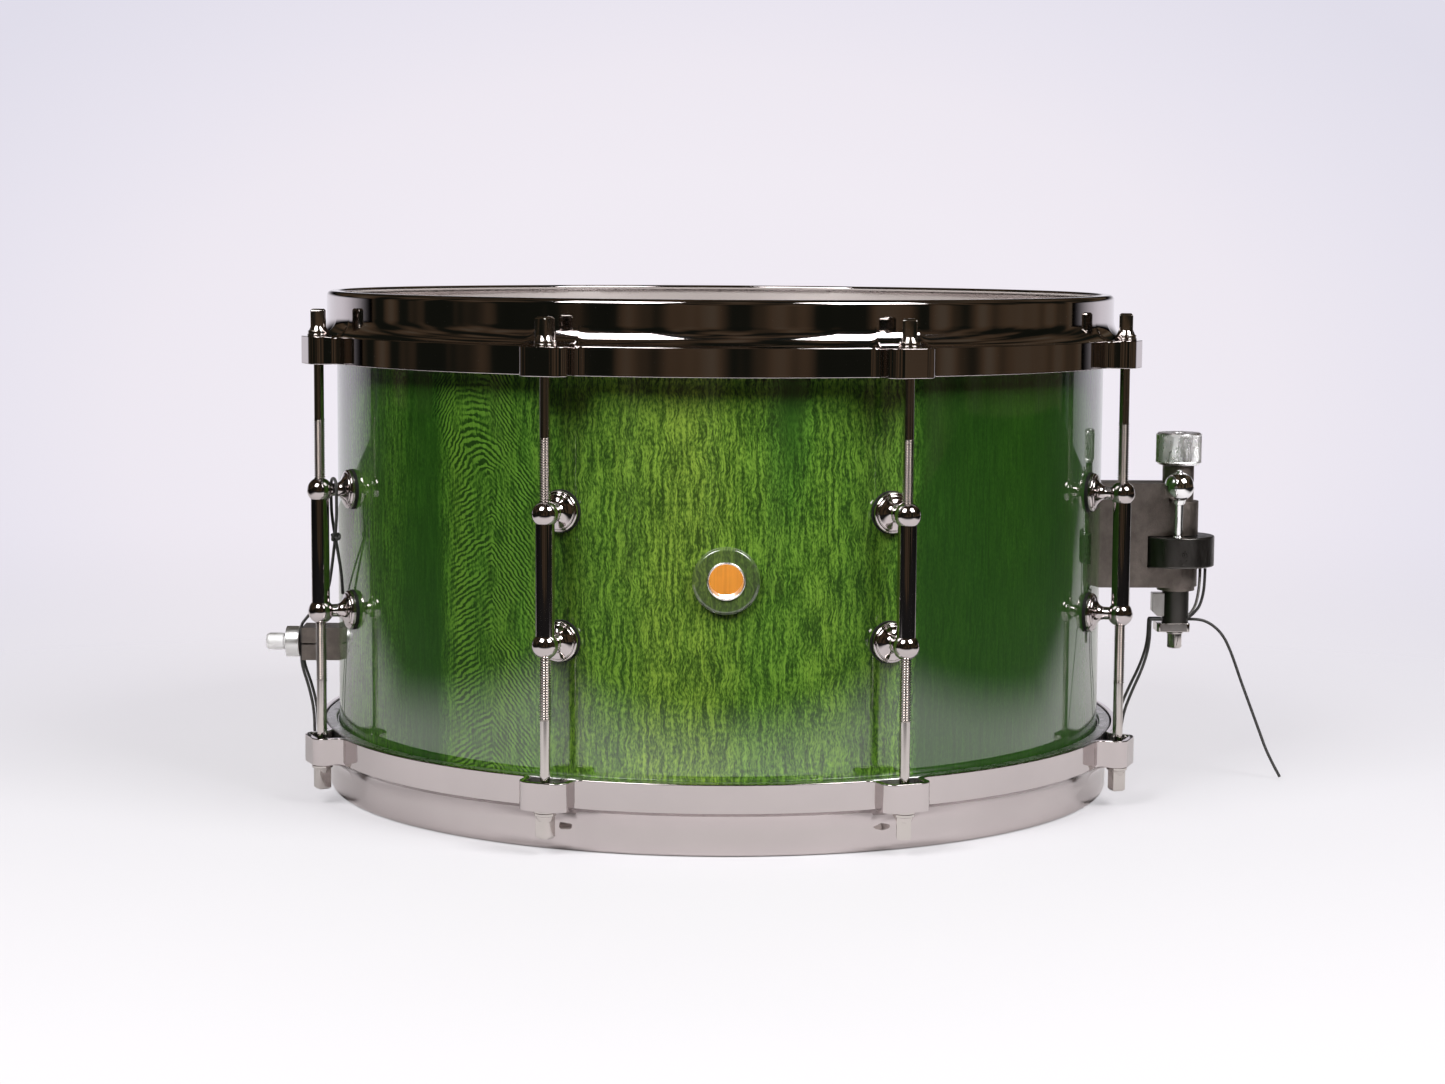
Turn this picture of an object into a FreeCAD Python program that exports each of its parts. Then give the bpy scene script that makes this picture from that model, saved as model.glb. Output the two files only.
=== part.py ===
import FreeCAD, Part
import math
import os

# Snare drum, fourteen by eight inches, in millimetres.
# +Z is up and Z = 0 is the plane the lower hoop stands on. The drum's axis is the Z axis.
# The vent badge faces -Y, the strainer is at +X and the butt plate at -X.

# ---- shell and bearing edges ----
SHELL_RADIUS = 177.8
SHELL_DEPTH = 203.2
SHELL_WALL = 8.0
TOTAL_HEIGHT = 228.5
MIDDLE = TOTAL_HEIGHT / 2
SHELL_TOP = MIDDLE + SHELL_DEPTH / 2
BEARING_EDGE_RADIUS = 175.9
BEARING_LAND = 0.4
OUTER_BEVEL_HEIGHT = 2.8
VENT_RADIUS = 7.5

# ---- heads ----
FILM_THICKNESS = 0.4
COLLAR_RADIUS = 178.3
FLESH_HOOP_INNER = 179.1
FLESH_HOOP_OUTER = 184.0
FLESH_HOOP_DEPTH = 10.9

# ---- hoops: depths are measured from the free rim of each hoop ----
HOOP_SHEET = 2.3
HOOP_WALL_RADIUS = 182.15
SKIRT_RADIUS = 187.0
LIP_RADIUS = 177.3
BEND_START = 11.0
BEND_RADIUS = 9.5
FLANGE_DEPTH = 19.2
SKIRT_DEPTH = 31.3
SHOULDER_DEPTH = 19.9
EAR_HALF_WIDTH = 11.0
EAR_REACH = 199.1
EAR_CORNER = 6.0
EAR_BLEND = 4.0
ROD_HOLE_RADIUS = 3.0
GATE_WIDTH = 56.0
GATE_BOTTOM = 3.5
GATE_TOP = 10.5

# ---- lugs and tension rods ----
LUG_COUNT = 8
LUG_STEP = 360.0 / LUG_COUNT
ROD_CIRCLE = 192.9
BALL_SPREAD = 27.0
BALL_RADIUS = 5.6
TUBE_RADIUS = 4.0
THREAD_RADIUS = 2.5
SHANK_RADIUS = 2.2
RUNNING_CLEARANCE = 0.05
POST_FOOT = 178.9
POST_FOOT_RADIUS = 8.6
LUG_SCREW_RADIUS = 2.4
THREAD_START = 10.0
THREAD_END = 58.6
WASHER_RADIUS = 4.85
WASHER_THICKNESS = 1.0
HEAD_FLANGE_RADIUS = 4.6
HEAD_FLANGE_HEIGHT = 1.3
HEAD_CONE_HEIGHT = 2.4
HEAD_SQUARE = 6.0
HEAD_HEIGHT = 11.0
TOP_HEAD_TURN = (62, 14, 30, 75, 20, 50, 65, 68)
BOTTOM_HEAD_TURN = (25, 51, 40, 10, 60, 33, 80, 20)

# ---- strainer ----
PISTON_AXIS = 216.2
BLOCK_HALF_WIDTH = 9.8
BLOCK_BOTTOM = 91.2
BLOCK_TOP = 140.2
OUTBOARD_TOP = 131.5
NECK_RADIUS = 7.35
NECK_TOP = 148.0
PISTON_RADIUS = 6.3
PISTON_BOTTOM = 73.8
PISTON_TOP = 125.0
COLLAR_OUTER = 17.6
COLLAR_BOTTOM = 100.9
COLLAR_TOP = 115.3
COLLAR_GAP = 0.3
FOLLOWER_RADIUS = 8.2
FOLLOWER_BOTTOM = 105.0
FOLLOWER_TOP = 111.0
GUIDE_RADIUS = 8.6
GUIDE_BOTTOM = 95.0
ADJUSTER_RADIUS = 2.2
ADJUSTER_BOTTOM = 100.0
LEVER_REST_ANGLE = -8.0
LEVER_ROOT_RADIUS = 12.6
LEVER_BALL_RADIUS = 6.85
LEVER_BALL_REACH = 17.6
LEVER_BALL_HEIGHT = 139.6
LEVER_STEM_RADIUS = 2.1
KNOB_RADIUS = 10.7
KNOB_BOTTOM = 148.5
KNOB_TOP = 163.7

CLAMP_SCREW_RADIUS = 2.0
CLAMP_SCREW_FLANGE = 4.0
CLAMP_SCREW_SQUARE = 5.0
CLAMP_SCREW_BOTTOM = 61.3
CLAMP_PLATE_BOTTOM = 69.7
CLAMP_PLATE_HALF_WIDTH = 6.5
JAW_FACE = PISTON_AXIS - 11.3
JAW_HALF_WIDTH = 3.0
JAW_BOTTOM = 76.7
JAW_TOP = 87.8
MOUNT_SCREW_RADIUS = 2.0
STRAINER_SCREW_HEIGHTS = (98.0, 124.0)

# ---- butt plate ----
BUTT_SCREW_OFFSETS = (-5.5, 5.5)
BUTT_HEIGHT = 63.0
BUTT_BLOCK_END = -195.6
BUTT_BLOCK_LOW = 55.3
BUTT_BLOCK_HIGH = 70.6
BUTT_HALF_WIDTH = 9.0
DISC_INNER = -197.2
DISC_OUTER = -203.7
DISC_RADIUS = 7.25
THUMB_SCREW_RADIUS = 2.0

# ---- snares and cord ----
WIRE_COUNT = 20
WIRE_PITCH = 2.1
WIRE_RADIUS = 0.95
WIRE_HALF_LENGTH = 148.0
WIRE_HEIGHT = 11.1
END_PLATE_LENGTH = 18.0
CORD_RADIUS = 0.7
ARC_SHARE = 0.45

UP = FreeCAD.Vector(0, 0, 1)
RIGHT = FreeCAD.Vector(1, 0, 0)
FRONT = FreeCAD.Vector(0, -1, 0)
ORIGIN = FreeCAD.Vector(0, 0, 0)


# ---- general helpers ----
def vector(x, y, z):
    return FreeCAD.Vector(x, y, z)


def rod_between(start, end, radius):
    """A round bar from one point to another."""
    return Part.makeCylinder(radius, start.distanceToPoint(end), start, end - start)


def upright(radius, low, high, x=0.0, y=0.0):
    """A vertical round bar."""
    return Part.makeCylinder(radius, high - low, vector(x, y, low))


def block(x_span, y_span, z_span):
    """A box from its three spans."""
    corner = vector(x_span[0], y_span[0], z_span[0])
    return Part.makeBox(x_span[1] - x_span[0], y_span[1] - y_span[0], z_span[1] - z_span[0], corner)


def turned(shape, degrees, centre=ORIGIN):
    """A copy turned about a vertical line."""
    copy = shape.copy()
    copy.rotate(centre, UP, degrees)
    return copy


def around(shape):
    """Copies of a shape made at the front, one at every lug."""
    return [turned(shape, lug_angle(i)) for i in range(LUG_COUNT)]


def lug_angle(index):
    """Angle of a lug from the front, turning towards the strainer."""
    return LUG_STEP * (index + 0.5)


def mirrored(shape):
    """The same piece at the other end of the drum."""
    return shape.mirror(vector(0, 0, MIDDLE), UP)


def ring(profile_edges):
    """A full turn about the drum's axis of a closed outline in the XZ plane."""
    face = Part.Face(Part.Wire(Part.__sortEdges__(profile_edges)))
    return face.revolve(ORIGIN, UP, 360)


def polygon_ring(points):
    """A full turn about the drum's axis of a polygon of radius and height pairs."""
    corners = [vector(r, 0, z) for r, z in points]
    return Part.Face(Part.makePolygon(corners + corners[:1])).revolve(ORIGIN, UP, 360)


def line(start, end):
    return Part.LineSegment(start, end).toShape()


def arc(start, middle, end):
    return Part.Arc(start, middle, end).toShape()


def arc_about(centre, radius, first, last, place):
    """An arc between two angles in degrees, with place() turning (a, b) into a point."""
    def on_circle(degrees):
        a = math.radians(degrees)
        return place(centre[0] + radius * math.cos(a), centre[1] + radius * math.sin(a))
    return arc(on_circle(first), on_circle((first + last) / 2), on_circle(last))


def cord_tube(name, points, radius=CORD_RADIUS):
    """A round cord along straight runs joined by tangent arcs."""
    corners = [vector(*p) for p in points]
    edges = []
    at = corners[0]
    radii = []
    length = 0.0
    for before, corner, after in zip(corners, corners[1:], corners[2:]):
        into = (corner - before).normalize()
        out = (after - corner).normalize()
        half_turn = into.getAngle(out) / 2
        reach = ARC_SHARE * min(before.distanceToPoint(corner), corner.distanceToPoint(after))
        arc_radius = reach / math.tan(half_turn)
        radii.append(arc_radius)
        start = corner - into * reach
        end = corner + out * reach
        inward = (out - into).normalize()
        sagitta = arc_radius / math.cos(half_turn) - arc_radius
        edges.append(line(at, start))
        edges.append(arc(start, corner + inward * sagitta, end))
        length += at.distanceToPoint(start) + 2 * half_turn * arc_radius
        at = end
    edges.append(line(at, corners[-1]))
    length += at.distanceToPoint(corners[-1])
    path = Part.Wire(edges)
    section = Part.Wire(Part.makeCircle(radius, corners[0], corners[1] - corners[0]))
    tube = path.makePipeShell([section], True, False)
    ratio = tube.Volume / (math.pi * radius ** 2 * length)
    shown = ", ".join(f"{r:.1f}" for r in radii)
    print(f"{name}: length {length:.1f} mm, volume ratio {ratio:.4f}, arc radii {shown}")
    return tube


# ---- shell ----
def make_shell():
    """Wooden cylinder with 45 degree bearing edges and all its screw holes."""
    inner = SHELL_RADIUS - SHELL_WALL
    land_inner = BEARING_EDGE_RADIUS - BEARING_LAND
    inner_bevel = land_inner - inner
    half = SHELL_DEPTH / 2
    upper = [(SHELL_RADIUS, half - OUTER_BEVEL_HEIGHT), (BEARING_EDGE_RADIUS, half),
             (land_inner, half), (inner, half - inner_bevel)]
    lower = [(r, -z) for r, z in reversed(upper)]
    shell = polygon_ring([(r, MIDDLE + z) for r, z in upper + lower])
    holes = []
    for z in (MIDDLE - BALL_SPREAD, MIDDLE + BALL_SPREAD):
        holes += around(rod_between(vector(0, -160, z), vector(0, -185, z), LUG_SCREW_RADIUS + 0.1))
    holes.append(rod_between(vector(0, -160, MIDDLE), vector(0, -185, MIDDLE), VENT_RADIUS))
    holes += [rod_between(start, end, MOUNT_SCREW_RADIUS) for start, end in mount_screw_lines()]
    return shell.cut(holes)


# ---- heads ----
def make_head():
    """Plastic film over the top bearing edge, with its collar down to the flesh hoop."""
    film = FILM_THICKNESS
    outer = COLLAR_RADIUS + film
    edge = SHELL_TOP
    skirt_end = TOTAL_HEIGHT - SKIRT_DEPTH + 1.5
    return polygon_ring([
        (0, edge + film), (BEARING_EDGE_RADIUS + 0.6, edge + film), (outer, edge - 2.0),
        (outer, skirt_end), (COLLAR_RADIUS, skirt_end), (COLLAR_RADIUS, edge - 2.2),
        (BEARING_EDGE_RADIUS + 0.3, edge), (0, edge)])


def make_flesh_hoop():
    """Metal ring that the film is locked into."""
    high = TOTAL_HEIGHT - FLANGE_DEPTH - 0.9
    low = high - FLESH_HOOP_DEPTH
    blank = ring(rectangle_edges(FLESH_HOOP_INNER, FLESH_HOOP_OUTER, low, high))
    outer_rims = [e for e in blank.Edges if abs(e.BoundBox.XMax - FLESH_HOOP_OUTER) < 0.01
                  and e.BoundBox.ZLength < 0.01]
    return blank.makeFillet(0.6, outer_rims)


def rectangle_edges(r_low, r_high, z_low, z_high):
    corners = [vector(r_low, 0, z_low), vector(r_high, 0, z_low),
               vector(r_high, 0, z_high), vector(r_low, 0, z_high)]
    return [line(a, b) for a, b in zip(corners, corners[1:] + corners[:1])]


# ---- hoops ----
def hoop_section():
    """Pressed sheet: rolled rim, straight wall, wide bend and skirt."""
    def place(radius, depth):
        return vector(radius, 0, TOTAL_HEIGHT - depth)

    sheet = HOOP_SHEET
    inner_wall = HOOP_WALL_RADIUS - sheet
    bend_centre = (HOOP_WALL_RADIUS + BEND_RADIUS, BEND_START)
    bend_end = 180 - math.degrees(math.asin((FLANGE_DEPTH - BEND_START - 0.2) / BEND_RADIUS))
    shoulder = place(bend_centre[0] + BEND_RADIUS * math.cos(math.radians(bend_end)),
                     bend_centre[1] + BEND_RADIUS * math.sin(math.radians(bend_end)))
    skirt_inner = SKIRT_RADIUS - sheet
    under_radius = BEND_RADIUS + sheet
    under_end = 180 - math.degrees(math.acos((bend_centre[0] - skirt_inner) / under_radius))
    under_depth = BEND_START + under_radius * math.sin(math.radians(under_end))
    lip = sheet / 2
    rim_corner = place(inner_wall + sheet * math.sqrt(0.5), sheet * (1 - math.sqrt(0.5)))
    return [
        arc(place(HOOP_WALL_RADIUS, sheet), rim_corner, place(inner_wall, 0)),
        line(place(inner_wall, 0), place(LIP_RADIUS, 0)),
        arc(place(LIP_RADIUS, 0), place(LIP_RADIUS - lip, lip), place(LIP_RADIUS, sheet)),
        line(place(LIP_RADIUS, sheet), place(inner_wall, sheet)),
        line(place(inner_wall, sheet), place(inner_wall, BEND_START)),
        arc_about(bend_centre, under_radius, 180, under_end, place),
        line(place(skirt_inner, under_depth), place(skirt_inner, SKIRT_DEPTH)),
        line(place(skirt_inner, SKIRT_DEPTH), place(SKIRT_RADIUS, SKIRT_DEPTH)),
        line(place(SKIRT_RADIUS, SKIRT_DEPTH), place(SKIRT_RADIUS, SHOULDER_DEPTH)),
        line(place(SKIRT_RADIUS, SHOULDER_DEPTH), shoulder),
        arc_about(bend_centre, BEND_RADIUS, bend_end, 180, place),
        line(place(HOOP_WALL_RADIUS, BEND_START), place(HOOP_WALL_RADIUS, sheet))]


def ear_outline(half_width, reach, corner, blend, circle_radius, inner_radius, height):
    """Outline of one ear at the front: a rounded box that blends into the skirt's circle."""
    def place(x, y):
        return vector(x, y, height)

    blend_x = half_width + blend
    blend_y = -math.sqrt((circle_radius + blend) ** 2 - blend_x ** 2)
    blend_angle = math.degrees(math.atan2(-blend_y, -blend_x))
    share = circle_radius / (circle_radius + blend)
    on_skirt = (blend_x * share, blend_y * share)
    inside = (on_skirt[0] * inner_radius / circle_radius, on_skirt[1] * inner_radius / circle_radius)
    corner_x = half_width - corner
    corner_y = -reach + corner
    right = [
        line(place(*inside), place(*on_skirt)),
        arc_about((blend_x, blend_y), blend, blend_angle, 180, place),
        line(place(half_width, blend_y), place(half_width, corner_y)),
        arc_about((corner_x, corner_y), corner, 0, -90, place)]
    left = [edge.mirror(ORIGIN, RIGHT) for edge in right]
    front = line(place(corner_x, -reach), place(-corner_x, -reach))
    back = arc(place(-inside[0], inside[1]), place(0, -inner_radius), place(*inside))
    return Part.Face(Part.Wire(Part.__sortEdges__(right + left + [front, back])))


def make_hoop():
    """Upper hoop: the ring with eight hollow ears and their rod holes."""
    low = TOTAL_HEIGHT - SKIRT_DEPTH
    sheet = HOOP_SHEET
    solid_ear = ear_outline(EAR_HALF_WIDTH, EAR_REACH, EAR_CORNER, EAR_BLEND,
                            SKIRT_RADIUS, SKIRT_RADIUS - 1.5, low)
    hollow = ear_outline(EAR_HALF_WIDTH - sheet, EAR_REACH - sheet, EAR_CORNER - sheet,
                         EAR_BLEND + sheet, SKIRT_RADIUS - sheet, SKIRT_RADIUS - sheet - 0.4, low - 1)
    ear = solid_ear.extrude(UP * (SKIRT_DEPTH - FLANGE_DEPTH))
    cavity = hollow.extrude(UP * (SKIRT_DEPTH - FLANGE_DEPTH - sheet + 1))
    hole = upright(ROD_HOLE_RADIUS, low, TOTAL_HEIGHT, 0, -ROD_CIRCLE)
    hoop = ring(hoop_section()).fuse(around(ear))
    return hoop.cut(around(cavity) + around(hole)).removeSplitter()


def make_snare_hoop():
    """Lower hoop: the same pressing with a gate for the cord at each side."""
    gate = block((-SKIRT_RADIUS, SKIRT_RADIUS), (-GATE_WIDTH / 2, GATE_WIDTH / 2),
                 (GATE_BOTTOM, GATE_TOP))
    return mirrored(make_hoop()).cut(gate)


# ---- lugs ----
def lug_post(height):
    """Round stepped foot, flared stem and ball, along the radius at the front."""
    def place(along, radius):
        return vector(0, -along, height + radius)

    foot = POST_FOOT
    outline = [
        line(place(foot, 0), place(foot, POST_FOOT_RADIUS)),
        line(place(foot, POST_FOOT_RADIUS), place(foot + 1.6, POST_FOOT_RADIUS)),
        arc(place(foot + 1.6, POST_FOOT_RADIUS), place(foot + 2.1, 8.25), place(foot + 2.3, 7.4)),
        line(place(foot + 2.3, 7.4), place(foot + 2.9, 6.7)),
        arc(place(foot + 2.9, 6.7), place(foot + 4.4, 4.1), place(foot + 7.6, 2.85)),
        line(place(foot + 7.6, 2.85), place(foot + 11, 2.85)),
        line(place(foot + 11, 2.85), place(foot + 11, 0)),
        line(place(foot + 11, 0), place(foot, 0))]
    stem = Part.Face(Part.Wire(outline)).revolve(vector(0, 0, height), FRONT, 360)
    ball = Part.makeSphere(BALL_RADIUS, vector(0, -ROD_CIRCLE, height))
    screw_hole = rod_between(vector(0, -foot, height), vector(0, -foot - 8, height), LUG_SCREW_RADIUS)
    return stem.fuse(ball).cut(screw_hole)


def make_lug():
    """Tube between two ball posts, bored through for the two tension rods."""
    low = MIDDLE - BALL_SPREAD
    high = MIDDLE + BALL_SPREAD
    tube = upright(TUBE_RADIUS, low, high, 0, -ROD_CIRCLE)
    bore = upright(THREAD_RADIUS + RUNNING_CLEARANCE, low - 10, high + 10, 0, -ROD_CIRCLE)
    return tube.fuse([lug_post(low), lug_post(high)]).cut(bore)


def lug_fixings():
    """Gaskets, screws and washers of all the lug posts, as three lists of solids."""
    gaskets = []
    screws = []
    washers = []
    inner = SHELL_RADIUS - SHELL_WALL - 0.1
    for z in (MIDDLE - BALL_SPREAD, MIDDLE + BALL_SPREAD):
        gasket = rod_between(vector(0, -170, z), vector(0, -POST_FOOT, z), POST_FOOT_RADIUS + 0.35)
        gasket = gasket.cut([upright(SHELL_RADIUS, z - 20, z + 20),
                             rod_between(vector(0, -170, z), vector(0, -190, z), LUG_SCREW_RADIUS + 0.3)])
        washer = rod_between(vector(0, -inner, z), vector(0, 1 - inner, z), 5.0)
        washer = washer.cut(rod_between(vector(0, -160, z), vector(0, -180, z), LUG_SCREW_RADIUS + 0.2))
        gaskets += around(gasket)
        washers += around(washer)
        screws += around(screw(vector(0, 1 - inner, z), FRONT, POST_FOOT + 7 + 1 - inner,
                               LUG_SCREW_RADIUS, 4.2))
    return gaskets, screws, washers


def screw(seat, direction, length, radius, head_radius):
    """Pan-head screw with a cross recess; the head sits behind the seat point."""
    head_height = head_radius * 0.65
    shank = Part.makeCylinder(radius, length, seat, direction)
    top = seat - direction * head_height
    head = Part.makeCylinder(head_radius, head_height, top, direction)
    head = head.makeFillet(head_height * 0.4, [e for e in head.Edges if e.Closed and
                                               e.CenterOfMass.distanceToPoint(top) < 0.01])
    across = direction.cross(UP).normalize() if abs(direction.z) < 0.9 else RIGHT
    other = direction.cross(across)
    slot_length = head_radius * 1.1
    for along, side in ((across, other), (other, across)):
        corner = top - along * (slot_length / 2) - side * 0.45
        base = Part.makePolygon([corner, corner + along * slot_length,
                                 corner + along * slot_length + side * 0.9,
                                 corner + side * 0.9, corner])
        head = head.cut(Part.Face(base).extrude(direction * head_height * 0.6))
    return head.fuse(shank).removeSplitter()


# ---- tension rods ----
def make_tension_rod(index, turns):
    """Threaded rod with a square head on a round flange, for the upper hoop."""
    x = ROD_CIRCLE * math.sin(math.radians(lug_angle(index)))
    y = -ROD_CIRCLE * math.cos(math.radians(lug_angle(index)))
    seat = TOTAL_HEIGHT - FLANGE_DEPTH + WASHER_THICKNESS
    thread = upright(THREAD_RADIUS, MIDDLE + THREAD_START, MIDDLE + THREAD_END, x, y)
    shank = upright(SHANK_RADIUS, MIDDLE + THREAD_END - 1, seat + 1, x, y)
    flange = upright(HEAD_FLANGE_RADIUS, seat, seat + HEAD_FLANGE_HEIGHT, x, y)
    cone = Part.makeCone(HEAD_FLANGE_RADIUS - 0.3, HEAD_SQUARE / 2, HEAD_CONE_HEIGHT,
                         vector(x, y, seat + HEAD_FLANGE_HEIGHT))
    half = HEAD_SQUARE / 2
    square = block((x - half, x + half), (y - half, y + half), (seat + 1, seat + HEAD_HEIGHT))
    crown = [e for e in square.Edges if abs(e.CenterOfMass.z - seat - HEAD_HEIGHT) < 0.01]
    square = square.makeChamfer(0.7, crown)
    square.rotate(vector(x, y, 0), UP, turns[index])
    return thread.fuse([shank, flange, cone, square]).removeSplitter()


def make_rod_washers():
    """One flat washer on top of every ear of the upper hoop."""
    seat = TOTAL_HEIGHT - FLANGE_DEPTH
    washer = upright(WASHER_RADIUS, seat, seat + WASHER_THICKNESS, 0, -ROD_CIRCLE)
    washer = washer.cut(upright(SHANK_RADIUS + 0.4, seat - 1, seat + 5, 0, -ROD_CIRCLE))
    return around(washer)


# ---- vent ----
def make_vent_badge():
    """Turned wooden ring glued round the vent hole, bevelled at its rim."""
    face_at = SHELL_RADIUS + 3.0
    radius = 14.0
    puck = rod_between(vector(0, -170, MIDDLE), vector(0, -face_at, MIDDLE), radius)
    puck = puck.makeChamfer(1.1, [e for e in puck.Edges if e.Closed and e.CenterOfMass.y < 1 - face_at])
    hole = rod_between(vector(0, -160, MIDDLE), vector(0, -190, MIDDLE), VENT_RADIUS)
    return puck.cut([upright(SHELL_RADIUS, 0, TOTAL_HEIGHT), hole])


def make_vent_grommet():
    """Flanged metal eyelet through the shell and the badge."""
    face_at = SHELL_RADIUS + 3.0
    inside = SHELL_RADIUS - SHELL_WALL - 0.3
    tube = rod_between(vector(0, -inside, MIDDLE), vector(0, -face_at - 0.3, MIDDLE), VENT_RADIUS)
    rear = rod_between(vector(0, 0.8 - inside, MIDDLE), vector(0, -inside, MIDDLE), VENT_RADIUS + 1.5)
    bead = Part.makeTorus(VENT_RADIUS - 0.15, 0.4, vector(0, -face_at - 0.4, MIDDLE), FRONT)
    bore = rod_between(vector(0, -160, MIDDLE), vector(0, -190, MIDDLE), VENT_RADIUS - 0.4)
    return tube.fuse([rear, bead]).cut(bore)


# ---- strainer ----
def mount_screw_lines():
    """Start and end of each hole that the strainer and the butt plate are fixed through."""
    start = SHELL_RADIUS - SHELL_WALL - 4
    end = SHELL_RADIUS + 8
    lines = [(vector(start, 0, z), vector(end, 0, z)) for z in STRAINER_SCREW_HEIGHTS]
    lines += [(vector(-start, y, BUTT_HEIGHT), vector(-end, y, BUTT_HEIGHT)) for y in BUTT_SCREW_OFFSETS]
    return lines


def make_mount_screws():
    """Screws from inside the shell that hold the strainer and the butt plate."""
    made = []
    for start, end in mount_screw_lines():
        direction = (end - start).normalize()
        seat = start + direction * (4 - 0.35)
        made.append(screw(seat, direction, seat.distanceToPoint(end), MOUNT_SCREW_RADIUS, 3.8))
    return made


def piston_bar(radius, low, high):
    return upright(radius, low, high, PISTON_AXIS, 0)


def make_strainer_body():
    """Milled block on the shell, slotted for the collar and bored for the piston."""
    width = (-BLOCK_HALF_WIDTH, BLOCK_HALF_WIDTH)
    step = PISTON_AXIS - NECK_RADIUS + 1.5
    inboard = block((SHELL_RADIUS - 6, step), width, (BLOCK_BOTTOM, BLOCK_TOP))
    web = block((step - 1, PISTON_AXIS), width, (BLOCK_BOTTOM, OUTBOARD_TOP))
    nose = piston_bar(BLOCK_HALF_WIDTH, BLOCK_BOTTOM, OUTBOARD_TOP)
    neck = piston_bar(NECK_RADIUS, BLOCK_BOTTOM, NECK_TOP)
    boss = piston_bar(BLOCK_HALF_WIDTH - 1, BLOCK_BOTTOM - 2.0, BLOCK_BOTTOM + 1)
    collar_slot = piston_bar(COLLAR_OUTER + 0.6, COLLAR_BOTTOM - COLLAR_GAP, COLLAR_TOP + COLLAR_GAP)
    cuts = [
        upright(SHELL_RADIUS, 0, TOTAL_HEIGHT),
        collar_slot,
        piston_bar(PISTON_RADIUS + RUNNING_CLEARANCE, BLOCK_BOTTOM - 5, PISTON_TOP + 3),
        piston_bar(GUIDE_RADIUS, GUIDE_BOTTOM, COLLAR_BOTTOM),
        piston_bar(ADJUSTER_RADIUS + RUNNING_CLEARANCE, PISTON_TOP, NECK_TOP + 1)]
    cuts += [rod_between(start, end, MOUNT_SCREW_RADIUS) for start, end in mount_screw_lines()[:2]]
    return inboard.fuse([web, nose, neck, boss]).cut(cuts).removeSplitter()


def make_release_collar():
    """Round cam that the lever turns; it drives the follower inside it."""
    collar = piston_bar(COLLAR_OUTER, COLLAR_BOTTOM, COLLAR_TOP)
    rims = [e for e in collar.Edges if e.Closed and e.BoundBox.ZLength < 0.01]
    collar = collar.makeChamfer(0.5, rims)
    return collar.cut([piston_bar(GUIDE_RADIUS, COLLAR_BOTTOM - 1, COLLAR_TOP - 2),
                       piston_bar(PISTON_RADIUS + RUNNING_CLEARANCE, COLLAR_TOP - 3, COLLAR_TOP + 1),
                       lever_bar(lever_root(COLLAR_TOP - 4), lever_tip())])


def lever_root(height):
    """Point at the lever's foot, on its line up to the ball."""
    a = math.radians(LEVER_REST_ANGLE)
    rise = (height - COLLAR_TOP) / (LEVER_BALL_HEIGHT - COLLAR_TOP)
    reach = LEVER_ROOT_RADIUS + rise * (LEVER_BALL_REACH - LEVER_ROOT_RADIUS)
    return vector(PISTON_AXIS + reach * math.sin(a), -reach * math.cos(a), height)


def lever_tip():
    return lever_root(LEVER_BALL_HEIGHT)


def lever_bar(start, end):
    return rod_between(start, end, LEVER_STEM_RADIUS)


def make_release_lever():
    """Round stem screwed into the collar's upper face."""
    along = (lever_tip() - lever_root(COLLAR_TOP)).normalize()
    return lever_bar(lever_root(COLLAR_TOP - 4), lever_tip() - along * (LEVER_BALL_RADIUS - 1.5))


def make_lever_ball():
    """Ball knob with a short waist below and a button on top."""
    centre = lever_tip()
    along = (centre - lever_root(COLLAR_TOP)).normalize()
    ball = Part.makeSphere(LEVER_BALL_RADIUS, centre)
    waist = Part.makeCone(2.7, 4.6, 4.2, centre - along * (LEVER_BALL_RADIUS + 1.6), along)
    button = rod_between(centre + along * 6, centre + along * (LEVER_BALL_RADIUS + 0.9), 1.3)
    socket = lever_bar(centre - along * 20, centre - along * (LEVER_BALL_RADIUS - 1.5))
    return ball.fuse([waist, button]).cut(socket)


def make_cam_follower():
    """Ring carried by the collar's cam; the piston is held in it."""
    return piston_bar(FOLLOWER_RADIUS, FOLLOWER_BOTTOM, FOLLOWER_TOP).cut(
        piston_bar(PISTON_RADIUS + RUNNING_CLEARANCE, FOLLOWER_BOTTOM - 1, FOLLOWER_TOP + 1))


def make_piston():
    """Round plunger with the jaw that backs the cord, hollow above for the adjuster."""
    bar = piston_bar(PISTON_RADIUS, PISTON_BOTTOM, PISTON_TOP)
    hollow = piston_bar(ADJUSTER_RADIUS + 0.4, 88, PISTON_TOP + 1)
    screw_hole = piston_bar(CLAMP_SCREW_RADIUS, PISTON_BOTTOM - 1, 82)
    return bar.cut([hollow, screw_hole])


def make_cord_jaw():
    """Flat pad on the shell side of the piston, bevelled at its lower corner."""
    pad = block((JAW_FACE, PISTON_AXIS - 4), (-JAW_HALF_WIDTH, JAW_HALF_WIDTH), (JAW_BOTTOM, JAW_TOP))
    bevel = [e for e in pad.Edges if abs(e.CenterOfMass.x - JAW_FACE) < 0.01
             and abs(e.CenterOfMass.z - JAW_BOTTOM) < 0.01]
    return pad.makeChamfer(2.6, bevel).cut(piston_bar(PISTON_RADIUS, 60, 100))


def make_clamp_plate():
    """Plate that pinches the cord up against the piston."""
    plate = block((PISTON_AXIS - 9.4, PISTON_AXIS + 6.2), (-CLAMP_PLATE_HALF_WIDTH, CLAMP_PLATE_HALF_WIDTH),
                  (CLAMP_PLATE_BOTTOM, PISTON_BOTTOM))
    upright_edges = [e for e in plate.Edges if e.BoundBox.ZLength > 3]
    plate = plate.makeFillet(1.5, upright_edges)
    return plate.cut(piston_bar(CLAMP_SCREW_RADIUS, 60, 80))


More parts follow.
